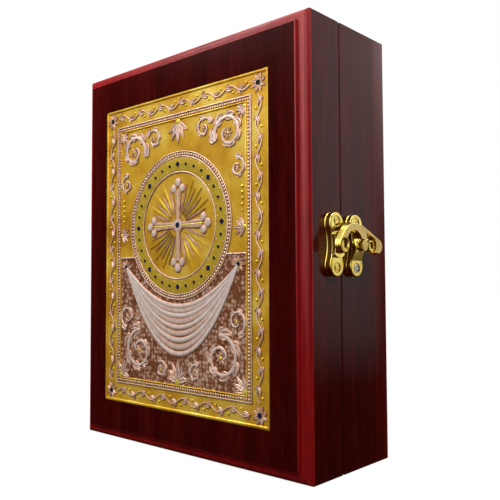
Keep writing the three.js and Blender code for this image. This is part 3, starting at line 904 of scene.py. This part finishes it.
# Each scroll: its middle, radius, start in degrees, turns and leaves.
SCROLLS = (
    ((37.0, -63.0), 13.5, 95, -1.25, 7),
    ((49.5, -41.5), 7.5, -80, 1.1, 5),
    ((15.5, -73.5), 5.4, 60, 1.1, 4),
    ((43.0, 67.0), 11.5, 200, -1.2, 7),
    ((50.5, 46.0), 6.0, 100, -1.1, 4),
    ((23.0, 73.0), 6.6, 20, 1.1, 5),
)
# Each palmette: its root, length, heading, leaves and the angle between them.
SIDE_PALMETTES = (
    ((56.0, 12.0), 9.0, 180, 5, 26),
    ((56.0, -80.5), 12.0, 128, 5, 24),
    ((56.0, 80.5), 8.0, -135, 5, 22),
)
MIDDLE_PALMETTES = (
    ((0.0, -80.5), 15.0, 90, 7, 21),
    ((0.0, 80.5), 14.0, -90, 5, 24),
)


def scroll(ornament, middle, radius, start, turns, leaves):
    """A stem that winds in to a rosette, with leaves on both of its sides."""
    path, widths = [], []
    for i in range(SCROLL_STEPS + 1):
        share = i / SCROLL_STEPS
        way = math.radians(start + 360 * turns * share)
        path += ring(middle, radius * (1 - 0.7 * share), 1, way)
        widths.append(0.1 * radius * (1 - 0.5 * share) + 0.25)
    ornament.ridge(path, widths, 0.95)
    side = 1 if turns > 0 else -1
    for i in range(leaves):
        at = round(SCROLL_STEPS * 0.78 * i / leaves)
        ahead = math.degrees(math.atan2(path[at + 1][1] - path[at][1], path[at + 1][0] - path[at][0]))
        size = radius * (1 - 0.55 * i / leaves)
        ornament.leaf(path[at], ahead - side * 34, 0.85 * size, 0.24 * size, 0.95, curl=side * 70)
        ornament.leaf(path[at], ahead - side * 72, 0.5 * size, 0.17 * size, 0.9, curl=side * 50)
        ornament.leaf(path[at], ahead + side * 34, 0.5 * size, 0.17 * size, 0.85, curl=-side * 40)
    ornament.rosette(middle, 0.27 * radius + 0.5, 7)


def palmette(ornament, root, length, heading, count, spread):
    """Leaves that fan out from a bead."""
    for i in range(count):
        away = i - (count - 1) / 2
        size = length * (1 - 0.11 * abs(away))
        ornament.leaf(root, heading + away * spread, size, 0.15 * length, 0.95, curl=away * 9)
    ornament.bead(root, 0.16 * length, 1.0, BRIGHT)


def right_half(ornament):
    ornament.rosette(FOLD_END, 5.2, 8)
    ornament.stone(FOLD_END, 1.5, 8)
    for values in SCROLLS:
        scroll(ornament, *values)
    for values in SIDE_PALMETTES:
        palmette(ornament, *values)
    for i in range(5):
        ornament.bead((54.0, 35.0 - 3.4 * i), 1.1 - 0.1 * i, 0.9, BRIGHT)


def mirrored(half, whole):
    """Add half of a design, and its mirror image, to the whole."""
    for side in (1, -1):
        start = len(whole.points)
        for x, y, z in half.points:
            whole.points.append(Vector((plate_middle.x + side * (x - plate_middle.x), y, z)))
        whole.faces += [tuple(start + i for i in face) for face in half.faces]
        whole.slots += half.slots


for values in MIDDLE_PALMETTES:
    palmette(ornament, *values)
half = Ornament()
right_half(half)
mirrored(half, ornament)
print("field:", len(ornament.faces), "faces in all")

# %% [markdown]
# ## Sheet of the plate
# The sheet that carries the ornament lies in the recess of the front board. All raised motifs
# stand on it as one mesh with a finish for each metal and for the stones.

# %% Plate
SHEET_ARRIS = 0.15 * MM
SHEET_LIFT = 0.02 * MM


def plate():
    back = plate_high.y - SHEET_LIFT
    loops = [case_loop(0, y, plate_low, plate_high) for y in (back, ground_y + SHEET_ARRIS)]
    loops.append(case_loop(SHEET_ARRIS, ground_y, plate_low, plate_high))
    points, faces = loft(loops)
    sheet = make_piece("icon_plate_ground", "lid", points, faces, [gold_ground])
    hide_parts("icon_plate")
    raised = make_piece(
        "icon_plate_ornament", "lid", ornament.points, ornament.faces, PLATE_FINISHES, ornament.slots)
    print("ornament:", len(ornament.faces), "faces")


plate()

# %% [markdown]
# ## Cast brass
# The catch and the hinges are small castings. They are tumbled until their edges are soft and
# then polished, except for the flat faces that are ground last and stay matt: the face of the
# hook and the end of the post. So there are two finishes, and the ground one goes on by the
# direction of each face. A polished casting is never quite flat, which a broad, shallow bump
# shows in its reflections. The lower screw of the strike plate and the hinge pins are nickel.

# %% Metal finishes
CAST_WAVE = 0.005
CAST_WAVE_DEPTH = 0.000012
GRIND = 0.0004
GRIND_DEPTH = 0.00002


def metal(name, dull, bright, wave, depth, **settings):
    material, tree, shader, place = new_finish(name, **settings)
    cloud = noise(tree, place, CAST_WAVE, 3)
    tree.links.new(ramp(tree, cloud, (0.35, dull), (0.65, bright)), shader.inputs["Base Color"])
    bump(tree, shader, noise(tree, place, wave), depth, 0.5)
    return material


polished_brass = metal(
    "polished_brass", (0.76, 0.55, 0.09), (0.93, 0.79, 0.21), CAST_WAVE, CAST_WAVE_DEPTH,
    Metallic=1.0, Roughness=0.14)
ground_brass = metal(
    "ground_brass", (0.62, 0.43, 0.12), (0.8, 0.61, 0.22), GRIND, GRIND_DEPTH, Metallic=0.6, Roughness=0.5)
nickel = metal(
    "nickel", (0.5, 0.48, 0.42), (0.7, 0.68, 0.62), CAST_WAVE, CAST_WAVE_DEPTH, Metallic=1.0, Roughness=0.2)
BRASS = [polished_brass, ground_brass]

# %% [markdown]
# ## Adding and cutting solids
# Castings are built up as their patterns are: simple solids are added to each other or cut
# away, and every edge that is left is rounded. Outlines lie in the plane of the hook, in
# millimetres from its rivet: along the case, up, and out from its side. A turned solid
# is a profile of (radius, out) pairs swept round an axis that points out.

# %% Plain solids
ROUND = 72


def outline_round(*circles):
    """The smallest outline round some circles, each given as along, up and radius."""
    points = [point for along, up, size in circles for point in ring((along, up), size, ROUND)]
    return [points[i] for i in convex_hull_2d(points)]


def solid(points, faces):
    mesh = bpy.data.meshes.new("solid")
    mesh.from_pydata([tuple(point) for point in points], [], faces)
    work = bmesh.new()
    work.from_mesh(mesh)
    bmesh.ops.recalc_face_normals(work, faces=work.faces)
    work.to_mesh(mesh)
    work.free()
    piece = bpy.data.objects.new("solid", mesh)
    bpy.context.scene.collection.objects.link(piece)
    return piece


def prism(outline, low, high):
    return solid(*loft([[(out, along, up) for along, up in outline] for out in (low, high)]))


def turned(profile, middle=(0, 0), sides=ROUND):
    """A turned solid, from (radius, out) pairs."""
    return solid(*loft([[(out, *at) for at in ring(middle, size, sides)] for size, out in profile]))


def block(low, high):
    loops = [
        [(out, low[1], low[2]), (out, high[1], low[2]), (out, high[1], high[2]), (out, low[1], high[2])]
        for out in (low[0], high[0])]
    return solid(*loft(loops))


print("a turned solid has", ROUND, "sides")

# %% Carving
EDGE = 0.22
EDGE_SEGMENTS = 3
EDGE_CORNER = math.radians(38)
SMALLEST = 0.03
NEARLY_FLAT = math.radians(0.6)


def applied(piece):
    """A new mesh of a piece with its modifiers applied."""
    shown = piece.evaluated_get(bpy.context.evaluated_depsgraph_get())
    return bpy.data.meshes.new_from_object(shown)


def settle(piece):
    """Keep the mesh that a piece's modifiers make, and drop the modifiers."""
    settled = applied(piece)
    piece.modifiers.clear()
    piece.data = settled


def carve(first, steps, edge=EDGE):
    """Add or cut solids one after another, then round the edges. Returns the mesh in mm."""
    for operation, other in steps:
        change = first.modifiers.new("change", "BOOLEAN")
        change.operation = operation
        change.solver = "EXACT"
        change.object = other
    mesh = applied(first)
    for used in [first] + [other for _, other in steps]:
        bpy.data.objects.remove(used)
    work = bmesh.new()
    work.from_mesh(mesh)
    bmesh.ops.remove_doubles(work, verts=work.verts, dist=SMALLEST)
    bmesh.ops.dissolve_limit(work, angle_limit=NEARLY_FLAT, verts=work.verts, edges=work.edges)
    if edge:
        corners = [line for line in work.edges if line.calc_face_angle(0) > EDGE_CORNER]
        bmesh.ops.bevel(
            work, geom=corners, offset=edge, offset_type="OFFSET", segments=EDGE_SEGMENTS,
            profile=0.5, affect="EDGES", clamp_overlap=False)
    work.to_mesh(mesh)
    work.free()
    return mesh


print("carved edges are rounded by", EDGE, "mm")

# %% Placing a casting
FACING_OUT = 0.985


def put(name, body, node, mesh, at, turn=0.0, finishes=BRASS, ground_from=None):
    """Place a mesh in mm at a point of the row frame, turned about the upright, for a CAD node."""
    for finish in finishes:
        mesh.materials.append(finish)
    for face in mesh.polygons:
        is_ground = ground_from is not None and face.normal.x > FACING_OUT and face.center.x > ground_from
        face.material_index = 1 if is_ground else 0
    mesh.transform(Matrix.Translation(at) @ Matrix.Rotation(turn, 4, "Z") @ Matrix.Scale(MM, 4))
    piece = dress(name, body, mesh)
    piece.modifiers.new("even shading", "WEIGHTED_NORMAL").keep_sharp = True
    settle(piece)
    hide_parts(node)
    print(f"{name}: {len(mesh.polygons)} faces")


# %% [markdown]
# ## Screws
# All screws are countersunk with a cross recess whose bars taper towards its bottom.
# Each size is made once, pointing out along the first axis, and copied to its places.

# %% Screws
CATCH_SCREW = {"head": 2.5, "shank": 1.25, "length": 9.6, "slot": 0.75, "reach": 1.65, "sink": 0.3}
LEAF_SCREW = {"head": 1.7, "shank": 0.8, "length": 6.6, "slot": 0.5, "reach": 1.1, "sink": 0.05}
HEAD_ARRIS = 0.12
HEAD_DOME = 0.22
DOME_STEPS = 6
POINT_SHARE = 0.25
POINT_RADIUS = 0.05
SCREW_SIDES = 48
SEAT_GAP = 0.08
OVERRUN = 1.0
RIGHT_SIDE, FRONTWARD, BACKWARD = 0.0, -math.pi / 2, math.pi / 2


def recess_bar(size, across):
    loops = []
    for out, narrow in ((OVERRUN, 1.15), (0, 1), (size["shank"] - size["head"], 0.45)):
        long, wide = size["reach"] * narrow, size["slot"] / 2 * narrow
        along, up = (long, wide) if across else (wide, long)
        loops.append([(out, -along, -up), (out, along, -up), (out, along, up), (out, -along, up)])
    return solid(*loft(loops))


def screw_mesh(size):
    head, shank, length = size["head"], size["shank"], size["length"]
    shares = [1 - i / DOME_STEPS for i in range(1, DOME_STEPS)]
    dome = [(head * share, HEAD_DOME * (1 - share ** 2)) for share in shares]
    profile = [
        (POINT_RADIUS, -length), (shank, -length * (1 - POINT_SHARE)), (shank, shank - head),
        (head, -HEAD_ARRIS), (head - HEAD_ARRIS / 3, 0), *dome]
    recess = [("DIFFERENCE", recess_bar(size, across)) for across in (True, False)]
    return carve(turned(profile, sides=SCREW_SIDES), recess, 0)


def screw_seat(size, out, middle):
    """The hole for a screw: a mouth, a countersink and a clearance for the shank."""
    head, shank = size["head"] + SEAT_GAP, size["shank"] + SEAT_GAP
    top = out - size["sink"]
    mouth = head + size["sink"]
    profile = [(shank, top - 2 * head), (shank, top + shank - head), (mouth, out), (mouth, out + OVERRUN)]
    return turned(profile, middle, SCREW_SIDES)


screw_meshes = {"catch": screw_mesh(CATCH_SCREW), "leaf": screw_mesh(LEAF_SCREW)}


def screw(node, body, kind, at, turn, finish=polished_brass):
    put(f"{node}_turned", body, node, screw_meshes[kind].copy(), at, turn, [finish])


print("screws:", {kind: len(mesh.polygons) for kind, mesh in screw_meshes.items()})

# %% [markdown]
# ## The two plates of the catch
# Both plates have the outline of two lobes joined by a waist, which offsets exactly: an inset
# takes as much from the radius of the lobes as it adds to that of the hollows. So the plate
# is a loft of its own outline: a thin foot, a hollow edge, and a quarter round to its face.
# Their middles are raised and no wider than the waist: the hook plate's is a flat-sided
# collar that the hook turns on, and the strike plate's slopes down from a post with a flat.

# %% Outline of a catch plate
PLATE_ROUND = 0.95
LOBE_RADIUS = 6.4
WAIST = 4.2
SCREW_SPACING = 25.2
SCREW_BEYOND_LOBE = 1.4
LOBE_UP = SCREW_SPACING / 2 - SCREW_BEYOND_LOBE
BOW = (WAIST ** 2 + LOBE_UP ** 2 - LOBE_RADIUS ** 2) / (2 * (LOBE_RADIUS - WAIST))
# The edge of a plate: how far out from the case, and how far in from the outline of its foot.
HOLLOW_EDGE = ((0.0, 0.0), (0.2, 0.0), (0.4, 0.16), (0.8, 0.24), (1.9, 0.26), (2.3, 0.2))
MIDDLE_INSET = 0.3


def lobed(inset):
    """The outline of a catch plate, drawn in by an inset."""
    lean = math.degrees(math.atan2(LOBE_UP, WAIST + BOW))
    lobe, bow = LOBE_RADIUS - inset, BOW + inset
    points = arc((0, LOBE_UP), lobe, -lean, 180 + lean, 36)
    points += arc((-WAIST - BOW, 0), bow, lean, -lean, 16)[1:-1]
    points += arc((0, -LOBE_UP), lobe, 180 - lean, 360 + lean, 36)
    return points + arc((WAIST + BOW, 0), bow, 180 + lean, 180 - lean, 16)[1:-1]


def middle_side(up):
    """Half the width of a raised middle at a height."""
    return WAIST + BOW - math.sqrt(BOW ** 2 - up ** 2) - MIDDLE_INSET


def catch_plate(thick):
    start = HOLLOW_EDGE[-1][1]
    rounded = arc((PLATE_ROUND, thick - PLATE_ROUND + start), PLATE_ROUND - start, 180, 90, 6)
    levels = [*HOLLOW_EDGE, *((out, inset) for inset, out in rounded)]
    return solid(*loft([[(out, along, up) for along, up in lobed(inset)] for out, inset in levels]))


def seats(thick):
    middles = [(0, side * SCREW_SPACING / 2) for side in (1, -1)]
    return [("DIFFERENCE", screw_seat(CATCH_SCREW, thick, middle)) for middle in middles]


print("the waist is hollowed by arcs of", round(BOW, 2), "mm radius")

# %% Catch plates
HOOK_PLATE_THICK = 4.0
STRIKE_PLATE_THICK = 3.4
COLLAR_RADIUS = 7.2
COLLAR_FACE = HOOK_PLATE_THICK + 1.7
POST_RADIUS = 3.1
POST_FLAT = 2.7
POST_HEIGHT = 5.5
# The flare at the foot of the post: its radius, and how far out from the face of the plate.
POST_FOOT = ((4.0, -1.0), (4.0, 0.9), (3.8, 1.5), (3.4, 2.1), (3.0, 2.35))
RAMP_HEIGHT = 2.4
RAMP_LENGTH = 5.6
RAMP_SINK = 0.2
RAISED_FROM = 0.5
GROUND_BAND = 0.3


def joint_at(name):
    return Vector(next(joint["pos_m"] for joint in frame["joints"] if joint["name"] == name))


catch_at = joint_at("hook_swing")
strike_low, strike_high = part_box("strike_plate")
strike_at = Vector((catch_at.x, (strike_low.y + strike_high.y) / 2, catch_at.z))
hook_low, hook_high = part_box("hook")
hook_rear = (hook_low.x - catch_at.x) / MM
hook_face = (hook_high.x - catch_at.x) / MM


def hook_plate():
    sides = [(along, up, middle_side(up)) for along, up in arc((0, 0), COLLAR_RADIUS, 0, 360, ROUND)[:-1]]
    outline = [(max(-side, min(side, along)), up) for along, up, side in sides]
    collar = prism(outline, RAISED_FROM, COLLAR_FACE)
    mesh = carve(catch_plate(HOOK_PLATE_THICK), [("UNION", collar), *seats(HOOK_PLATE_THICK)])
    put("hook_plate_cast", "lid", "hook_plate", mesh, catch_at)


def strike_plate():
    face = STRIKE_PLATE_THICK
    end, wide = face + POST_HEIGHT, 2 * POST_RADIUS
    post = turned([(POST_RADIUS, RAISED_FROM), (POST_RADIUS, end)])
    foot = turned([(size, face + out) for size, out in POST_FOOT])
    flat = block((hook_rear, -wide, -wide), (end + OVERRUN, -POST_FLAT, wide))
    slope = [(0.0, RAMP_HEIGHT)]
    for share in (0, 0.25, 0.5, 0.75, 1):
        slope.append((-POST_RADIUS - RAMP_LENGTH * share, RAMP_HEIGHT * (1 - share) - RAMP_SINK))
    loops = []
    for up, height in slope:
        side, top = middle_side(up), face + height
        corners = ((RAISED_FROM, -side), (RAISED_FROM, side), (top, side), (top, -side))
        loops.append([(*corner, up) for corner in corners])
    sloped = solid(*loft(loops))
    steps = [("UNION", post), ("DIFFERENCE", flat), ("UNION", foot), ("UNION", sloped), *seats(face)]
    mesh = carve(catch_plate(face), steps)
    put("strike_plate_cast", "base", "strike_plate", mesh, strike_at, ground_from=end - GROUND_BAND)


hook_plate()
strike_plate()
for side, end in ((1, "upper"), (-1, "lower")):
    up = Vector((0, 0, side * SCREW_SPACING / 2 * MM))
    face = Vector(((HOOK_PLATE_THICK - CATCH_SCREW["sink"]) * MM, 0, 0))
    screw(f"hook_plate_screw_{end}", "lid", "catch", catch_at + face + up, RIGHT_SIDE)
    face = Vector(((STRIKE_PLATE_THICK - CATCH_SCREW["sink"]) * MM, 0, 0))
    finish = nickel if end == "lower" else polished_brass
    screw(f"strike_screw_{end}", "base", "catch", strike_at + face + up, RIGHT_SIDE, finish)

# %% [markdown]
# ## Hook and rivet
# The hook is a flat casting: a hub, an arch over the window, and a slope down to a curled
# tail. A groove sunk in its face runs down the slope and round an eye, which leaves
# the tail as a rim. The post passes below the arch, so the lower side follows the circle that
# the post sweeps about the rivet as the hook swings. The outline is a chain of arcs, and its
# sides lean in a little toward the face, as on a casting that has to leave its mould. The rivet
# is spread into a countersink in the hub, which leaves a small bowl.

# %% Outline of the hook
HUB_RADIUS = 4.3
# A circle is given as along, up and radius.
ARCH = (9.4, 0.5, 11.2)
ARCH_BAND = 3.7
CREST = (15.6, 6.2, 5)
EYE_RADIUS = 3.3
HOOK_PLAY = 0.35
DRAFT = 0.9


def hook_outline(eye, tail, reach):
    """The outline of the hook, clockwise from where the window meets the hub."""
    shoulder = POST_RADIUS + HOOK_PLAY
    window = Vector(ARCH[:2])
    opening = ARCH[2] - ARCH_BAND
    along = (window.length ** 2 + HUB_RADIUS ** 2 - opening ** 2) / (2 * window.length)
    ahead = window.normalized()
    notch = ahead * along + ahead.orthogonal() * math.sqrt(HUB_RADIUS ** 2 - along ** 2)
    back = notch - window
    top = [point for point in outline_round((0, 0, HUB_RADIUS), ARCH, CREST, tail) if point[1] > SMALLEST]
    lean = math.degrees(math.asin((tail[2] - eye[2]) / (tail[0] - eye[0])))
    rise = shoulder - window.y
    points = arc((0, 0), HUB_RADIUS, math.degrees(math.atan2(notch.y, notch.x)), -180, 48)
    points += sorted(top)
    points += arc(tail[:2], tail[2], 0, -90 - lean, 20)
    points += arc(eye[:2], eye[2], -90 - lean, -180, 20)
    points += arc((0, 0), reach, 0, math.degrees(math.asin(shoulder / reach)), 6)
    ends = (math.asin(rise / opening), math.atan2(back.y, back.x))
    points += arc(window, opening, *(math.degrees(end) for end in ends), 48)
    return points[:-1]


def drafted(outline, reach):
    """The outline of the hook's rear: wider all round, as castings are, but not at the post."""
    wide = []
    for i, (along, up) in enumerate(outline):
        before, after = Vector(outline[i - 1]), Vector(outline[(i + 1) % len(outline)])
        outwards = (after - before).normalized().orthogonal()
        at_post = up < POST_RADIUS + 2 * HOOK_PLAY and ARCH[0] < along < reach + EYE_RADIUS
        wide.append((along, up) if at_post else tuple(Vector((along, up)) + outwards * DRAFT))
    return wide


print("the hook has", HOOK_PLAY, "mm of play at the post")

# %% Hook
EYE_DROP = 0.1
EYE_HEIGHT = 1.8
# The dished top of the eye, as shares of its radius and height.
EYE_DISH = (
    (1.0, 0.8), (0.93, 0.97), (0.84, 1.0), (0.74, 0.96),
    (0.66, 0.8), (0.5, 0.55), (0.25, 0.4), (0.04, 0.36))
TAIL_RADIUS = 3.9
TAIL_BEYOND_EYE = 6.9
GROOVE_DEPTH = 2.3
GROOVE_WIDTH = 1.25
GROOVE_START = (22.4, 5.8, 1.1)
GROOVE_TURN = (28.3, 2.3, 2.2)
RIVET_RADIUS = 1.7
HOLE_GAP = 0.08
DISH_RADIUS = 3.75
DISH_DEPTH = 2.4


def hook():
    reach = (strike_at.y - catch_at.y) / MM + POST_RADIUS + HOOK_PLAY
    floor = hook_face - GROOVE_DEPTH
    inside, above = hook_rear + OVERRUN / 3, hook_face + OVERRUN
    eye = (reach + EYE_RADIUS, -EYE_DROP, EYE_RADIUS)
    tail = (eye[0] + TAIL_BEYOND_EYE, -EYE_DROP, TAIL_RADIUS)
    round_eye = (eye[0], eye[1], EYE_RADIUS + GROOVE_WIDTH)
    dish = [(EYE_RADIUS * size, floor + EYE_HEIGHT * rise) for size, rise in EYE_DISH]
    bore = RIVET_RADIUS + HOLE_GAP
    countersink = [
        (bore, hook_rear - OVERRUN), (bore, hook_face - DISH_DEPTH),
        (DISH_RADIUS, hook_face), (DISH_RADIUS, above)]
    steps = [
        ("DIFFERENCE", prism(outline_round(GROOVE_START, GROOVE_TURN, round_eye), floor, above)),
        ("UNION", turned([(EYE_RADIUS - HOLE_GAP, inside), *dish], eye[:2])),
        ("DIFFERENCE", turned(countersink)),
    ]
    face = hook_outline(eye, tail, reach)
    levels = ((hook_rear, drafted(face, reach)), (hook_face, face))
    blank = solid(*loft([[(out, along, up) for along, up in outline] for out, outline in levels]))
    mesh = carve(blank, steps)
    put("hook_cast", "hook", "hook", mesh, catch_at, ground_from=hook_face - GROUND_BAND / 3)


hook()

# %% Rivet
RIVET_FOOT = 0.1
SPREAD_SINK = 0.15
BOWL_DEPTH = 1.4
# The bowl, as shares of its radius and depth.
BOWL = (
    (0.97, 0.0), (0.93, 0.12), (0.86, 0.34), (0.74, 0.6),
    (0.58, 0.8), (0.38, 0.94), (0.18, 0.99), (0.02, 1.0))


def rivet():
    end = hook_face - SPREAD_SINK
    flare = DISH_RADIUS - HOLE_GAP - SPREAD_SINK
    hollow = [(flare * size, end - BOWL_DEPTH * depth) for size, depth in BOWL]
    profile = [(RIVET_RADIUS, RIVET_FOOT), (RIVET_RADIUS, hook_face - DISH_DEPTH), (flare, end), *hollow]
    mesh = carve(turned(profile), [], 0)
    put("hook_rivet_spread", "lid", "hook_rivet", mesh, catch_at, finishes=[polished_brass])


rivet()

# %% [markdown]
# ## Hinges
# Two small butt hinges join the halves at the left side. Each leaf is let into its rim, flush
# with it, and its knuckles wrap round a nickel pin. They cannot be seen in the picture, so
# they are the common pattern for a case of this size.

# %% Hinge leaves
LEAF_WIDTH = 7.2
LEAF_THICK = 1.2
LEAF_LENGTH = 30.0
BARREL_RADIUS = 2.2
KNUCKLES = 5
KNUCKLE_GAP = 0.3
PIN_RADIUS = 1.0
PIN_GAP = 0.1
NECK_SHARE = 0.6
LEAF_SCREW_FROM_END = 6.0
LEAF_EDGE = 0.12

hinge_at = joint_at("lid_hinge")


def upright(*profile):
    """A turned solid that stands upright, from (radius, up) pairs."""
    return solid(*loft([[(*at, up) for at in ring((0, 0), radius, SCREW_SIDES)] for radius, up in profile]))


def hinge_leaf(half, end, middle):
    """One leaf, in mm from the middle of the pin. Its rim faces forward on the base."""
    node = f"{half}_leaf_{end}"
    is_base = half == "base"
    rim = (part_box("base_rail_top")[0].y - hinge_at.y) / MM
    near, far = (rim, rim + LEAF_THICK) if is_base else (-rim - LEAF_THICK, -rim)
    turn, face, inwards = (FRONTWARD, near, 1) if is_base else (BACKWARD, far, -1)
    clear = BARREL_RADIUS + KNUCKLE_GAP
    leaf_end = (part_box(node)[1].x - hinge_at.x) / MM
    steps = []
    knuckle = (LEAF_LENGTH - KNUCKLE_GAP * (KNUCKLES - 1)) / KNUCKLES
    for i in range(0 if is_base else 1, KNUCKLES, 2):
        bottom = i * (knuckle + KNUCKLE_GAP) - LEAF_LENGTH / 2
        top = bottom + knuckle
        neck = block((NECK_SHARE * BARREL_RADIUS, near, bottom), (clear + OVERRUN, far, top))
        steps += [("UNION", neck), ("UNION", upright((BARREL_RADIUS, bottom), (BARREL_RADIUS, top)))]
    bore = PIN_RADIUS + PIN_GAP
    steps.append(("DIFFERENCE", upright((bore, -LEAF_LENGTH), (bore, LEAF_LENGTH))))
    screw_across = leaf_end - LEAF_WIDTH / 2
    for side, place in ((1, "upper"), (-1, "lower")):
        up = side * (LEAF_LENGTH / 2 - LEAF_SCREW_FROM_END)
        seat = screw_seat(LEAF_SCREW, 0, (0, 0))
        seat.data.transform(Matrix.Translation((screw_across, face, up)) @ Matrix.Rotation(turn, 4, "Z"))
        steps.append(("DIFFERENCE", seat))
        sunk = face + inwards * LEAF_SCREW["sink"]
        at = Vector((hinge_at.x, hinge_at.y, middle)) + Vector((screw_across, sunk, up)) * MM
        screw(f"{node}_screw_{place}", half, "leaf", at, turn)
    first = block((clear, near, -LEAF_LENGTH / 2), (leaf_end, far, LEAF_LENGTH / 2))
    put(f"{node}_rolled", half, node, carve(first, steps, LEAF_EDGE), (hinge_at.x, hinge_at.y, middle))


print("each hinge has", KNUCKLES, "knuckles round a pin of", 2 * PIN_RADIUS, "mm")

# %% Hinges
PIN_CHAMFER = 0.4


def hinge_pin(end, middle):
    node, tip = f"hinge_pin_{end}", LEAF_LENGTH / 2
    narrow, shoulder = PIN_RADIUS - PIN_CHAMFER, tip - PIN_CHAMFER
    rod = upright((narrow, -tip), (PIN_RADIUS, -shoulder), (PIN_RADIUS, shoulder), (narrow, tip))
    mesh = carve(rod, [], 0)
    at = (hinge_at.x, hinge_at.y, middle)
    put(f"{node}_drawn", "base", node, mesh, at, finishes=[nickel])


for end in ("upper", "lower"):
    low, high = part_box(f"hinge_pin_{end}")
    middle = (low.z + high.z) / 2
    hinge_leaf("base", end, middle)
    hinge_leaf("lid", end, middle)
    hinge_pin(end, middle)

# %% [markdown]
# ## Velvet linings
# Each half is lined with a panel of card, a thin wadding and velvet drawn over them and glued
# down behind. Nothing of them is seen in the picture, so they are plain. The panel starts as
# a flat cushion that is fixed at its back and round its edge. Cloth with a little air pressure
# in it swells to the wadding. How far each point moves is then scaled down to the depth of the
# panel, so that it is fullest in its middle, rolls down toward the rails and stays in its place.
# Velvet is dark where it is seen face on and lighter at a slant.

# %% Velvet
NAP = 0.0007
NAP_DEPTH = 0.00015
PILE_CLOUD = 0.018


def velvet_finish():
    material, tree, shader, place = new_finish(
        "wine_velvet", Roughness=0.85, Sheen_Weight=0.45, Sheen_Roughness=0.35)
    shader.inputs["Sheen Tint"].default_value = (0.7, 0.12, 0.14, 1)
    pile = noise(tree, place, NAP, 3, 0.7)
    cloud = noise(tree, place, PILE_CLOUD, 3, 0.5)
    nap = calculate(tree, "MULTIPLY_ADD", cloud, 0.6, calculate(tree, "MULTIPLY", pile, 0.4))
    colour = ramp(
        tree, nap, (0.3, (0.062, 0.0013, 0.003)), (0.5, (0.085, 0.002, 0.005)),
        (0.7, (0.112, 0.0035, 0.0075)))
    tree.links.new(colour, shader.inputs["Base Color"])
    bump(tree, shader, pile, NAP_DEPTH, 0.5)
    return material


velvet = velvet_finish()
print("finish:", velvet.name)

# %% Cushions
PAD_STEP = 4 * MM
PAD_GAP = 0.6 * MM
PAD_EDGE = 13 * MM
PAD_START = 0.5


def cushion(low, high, out):
    """A flat cushion whose back lies on one side of a box. Out is 1 or -1 along Y."""
    seat = low.y if out > 0 else high.y
    spans = [(low.x + PAD_GAP, high.x - PAD_GAP), (low.z + PAD_GAP, high.z - PAD_GAP)]
    rows = [round((end - start) / PAD_STEP) for start, end in spans]
    points, faces = [], []
    for lift in (PAD_START * (high.y - low.y) * out, 0.0):
        for i in range(rows[0] + 1):
            for j in range(rows[1] + 1):
                x, z = (start + (end - start) * k / n for (start, end), k, n in zip(spans, (i, j), rows))
                inside = min(x - spans[0][0], spans[0][1] - x, z - spans[1][0], spans[1][1] - z)
                away = 1 - min(1, inside / PAD_EDGE)
                points.append(Vector((x, seat + lift * math.sqrt(1 - away ** 2), z)))
    count = rows[1] + 1
    for base in (0, (rows[0] + 1) * count):
        for i in range(rows[0]):
            for j in range(rows[1]):
                first = base + i * count + j
                faces.append((first, first + 1, first + count + 1, first + count))
    return points, faces, seat


print("each cushion starts", PAD_START, "of the depth of its box thick")

# %% Linings
PAD_SWELL = 0.5
PAD_SLACK = 0.02
# A point that the cloth moves this far gets three quarters of the full swell.
PAD_FULL = 12 * MM
PAD_SIDEWAYS = 0.4 * MM
PAD_PRESSURE = 4.0
PAD_FRAMES = 20


def swell(piece, seat, depth):
    """Let the cloth swell, read how far each point moved, and scale that to the depth."""
    glued = piece.vertex_groups.new(name="glued")
    fixed = [point.index for point in piece.data.vertices if abs(point.co.y - seat) < MM / 100]
    glued.add(fixed, 1.0, "REPLACE")
    cloth = piece.modifiers.new("wadding", "CLOTH")
    settings = cloth.settings
    settings.quality = 6
    settings.mass = 0.2
    settings.bending_stiffness = 0.4
    settings.shrink_min = -PAD_SLACK
    settings.vertex_group_mass = glued.name
    settings.use_pressure = True
    settings.uniform_pressure_force = PAD_PRESSURE
    settings.effector_weights.gravity = 0.0
    for number in range(1, PAD_FRAMES + 1):
        bpy.context.scene.frame_set(number)
    moved = [point.co.copy() for point in applied(piece).vertices]
    piece.modifiers.clear()
    piece.vertex_groups.clear()
    bpy.context.scene.frame_set(1)
    most, limit = 0.0, PAD_SWELL * depth
    for point, now in zip(piece.data.vertices, moved):
        step = now - point.co
        most = max(most, abs(step.y))
        outwards = limit * math.tanh(step.y / PAD_FULL)
        sideways = Vector((step.x, 0, step.z))
        if sideways.length > PAD_SIDEWAYS:
            sideways *= PAD_SIDEWAYS / sideways.length
        point.co += sideways + Vector((0, outwards, 0))
    print(piece.name, "swells by up to", round(most / MM, 2), "mm before it is scaled down")


def padded_panel(node, body, out):
    low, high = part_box(node)
    points, faces, seat = cushion(low, high, out)
    piece = make_piece(f"{node}_velvet", body, points, faces, [velvet])
    # The pressure pushes along the normals, so they have to point out of the thin cushion.
    if sum(face.area * face.normal.y * face.center.y for face in piece.data.polygons) < 0:
        piece.data.flip_normals()
    swell(piece, seat, high.y - low.y)
    piece.modifiers.new("smooth pile", "SUBSURF").levels = 1
    settle(piece)
    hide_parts(node)


padded_panel("base_lining_pad", "base", -1)
padded_panel("lid_lining_pad", "lid", 1)

# %% Finish
bpy.context.scene.view_settings.view_transform = "Standard"
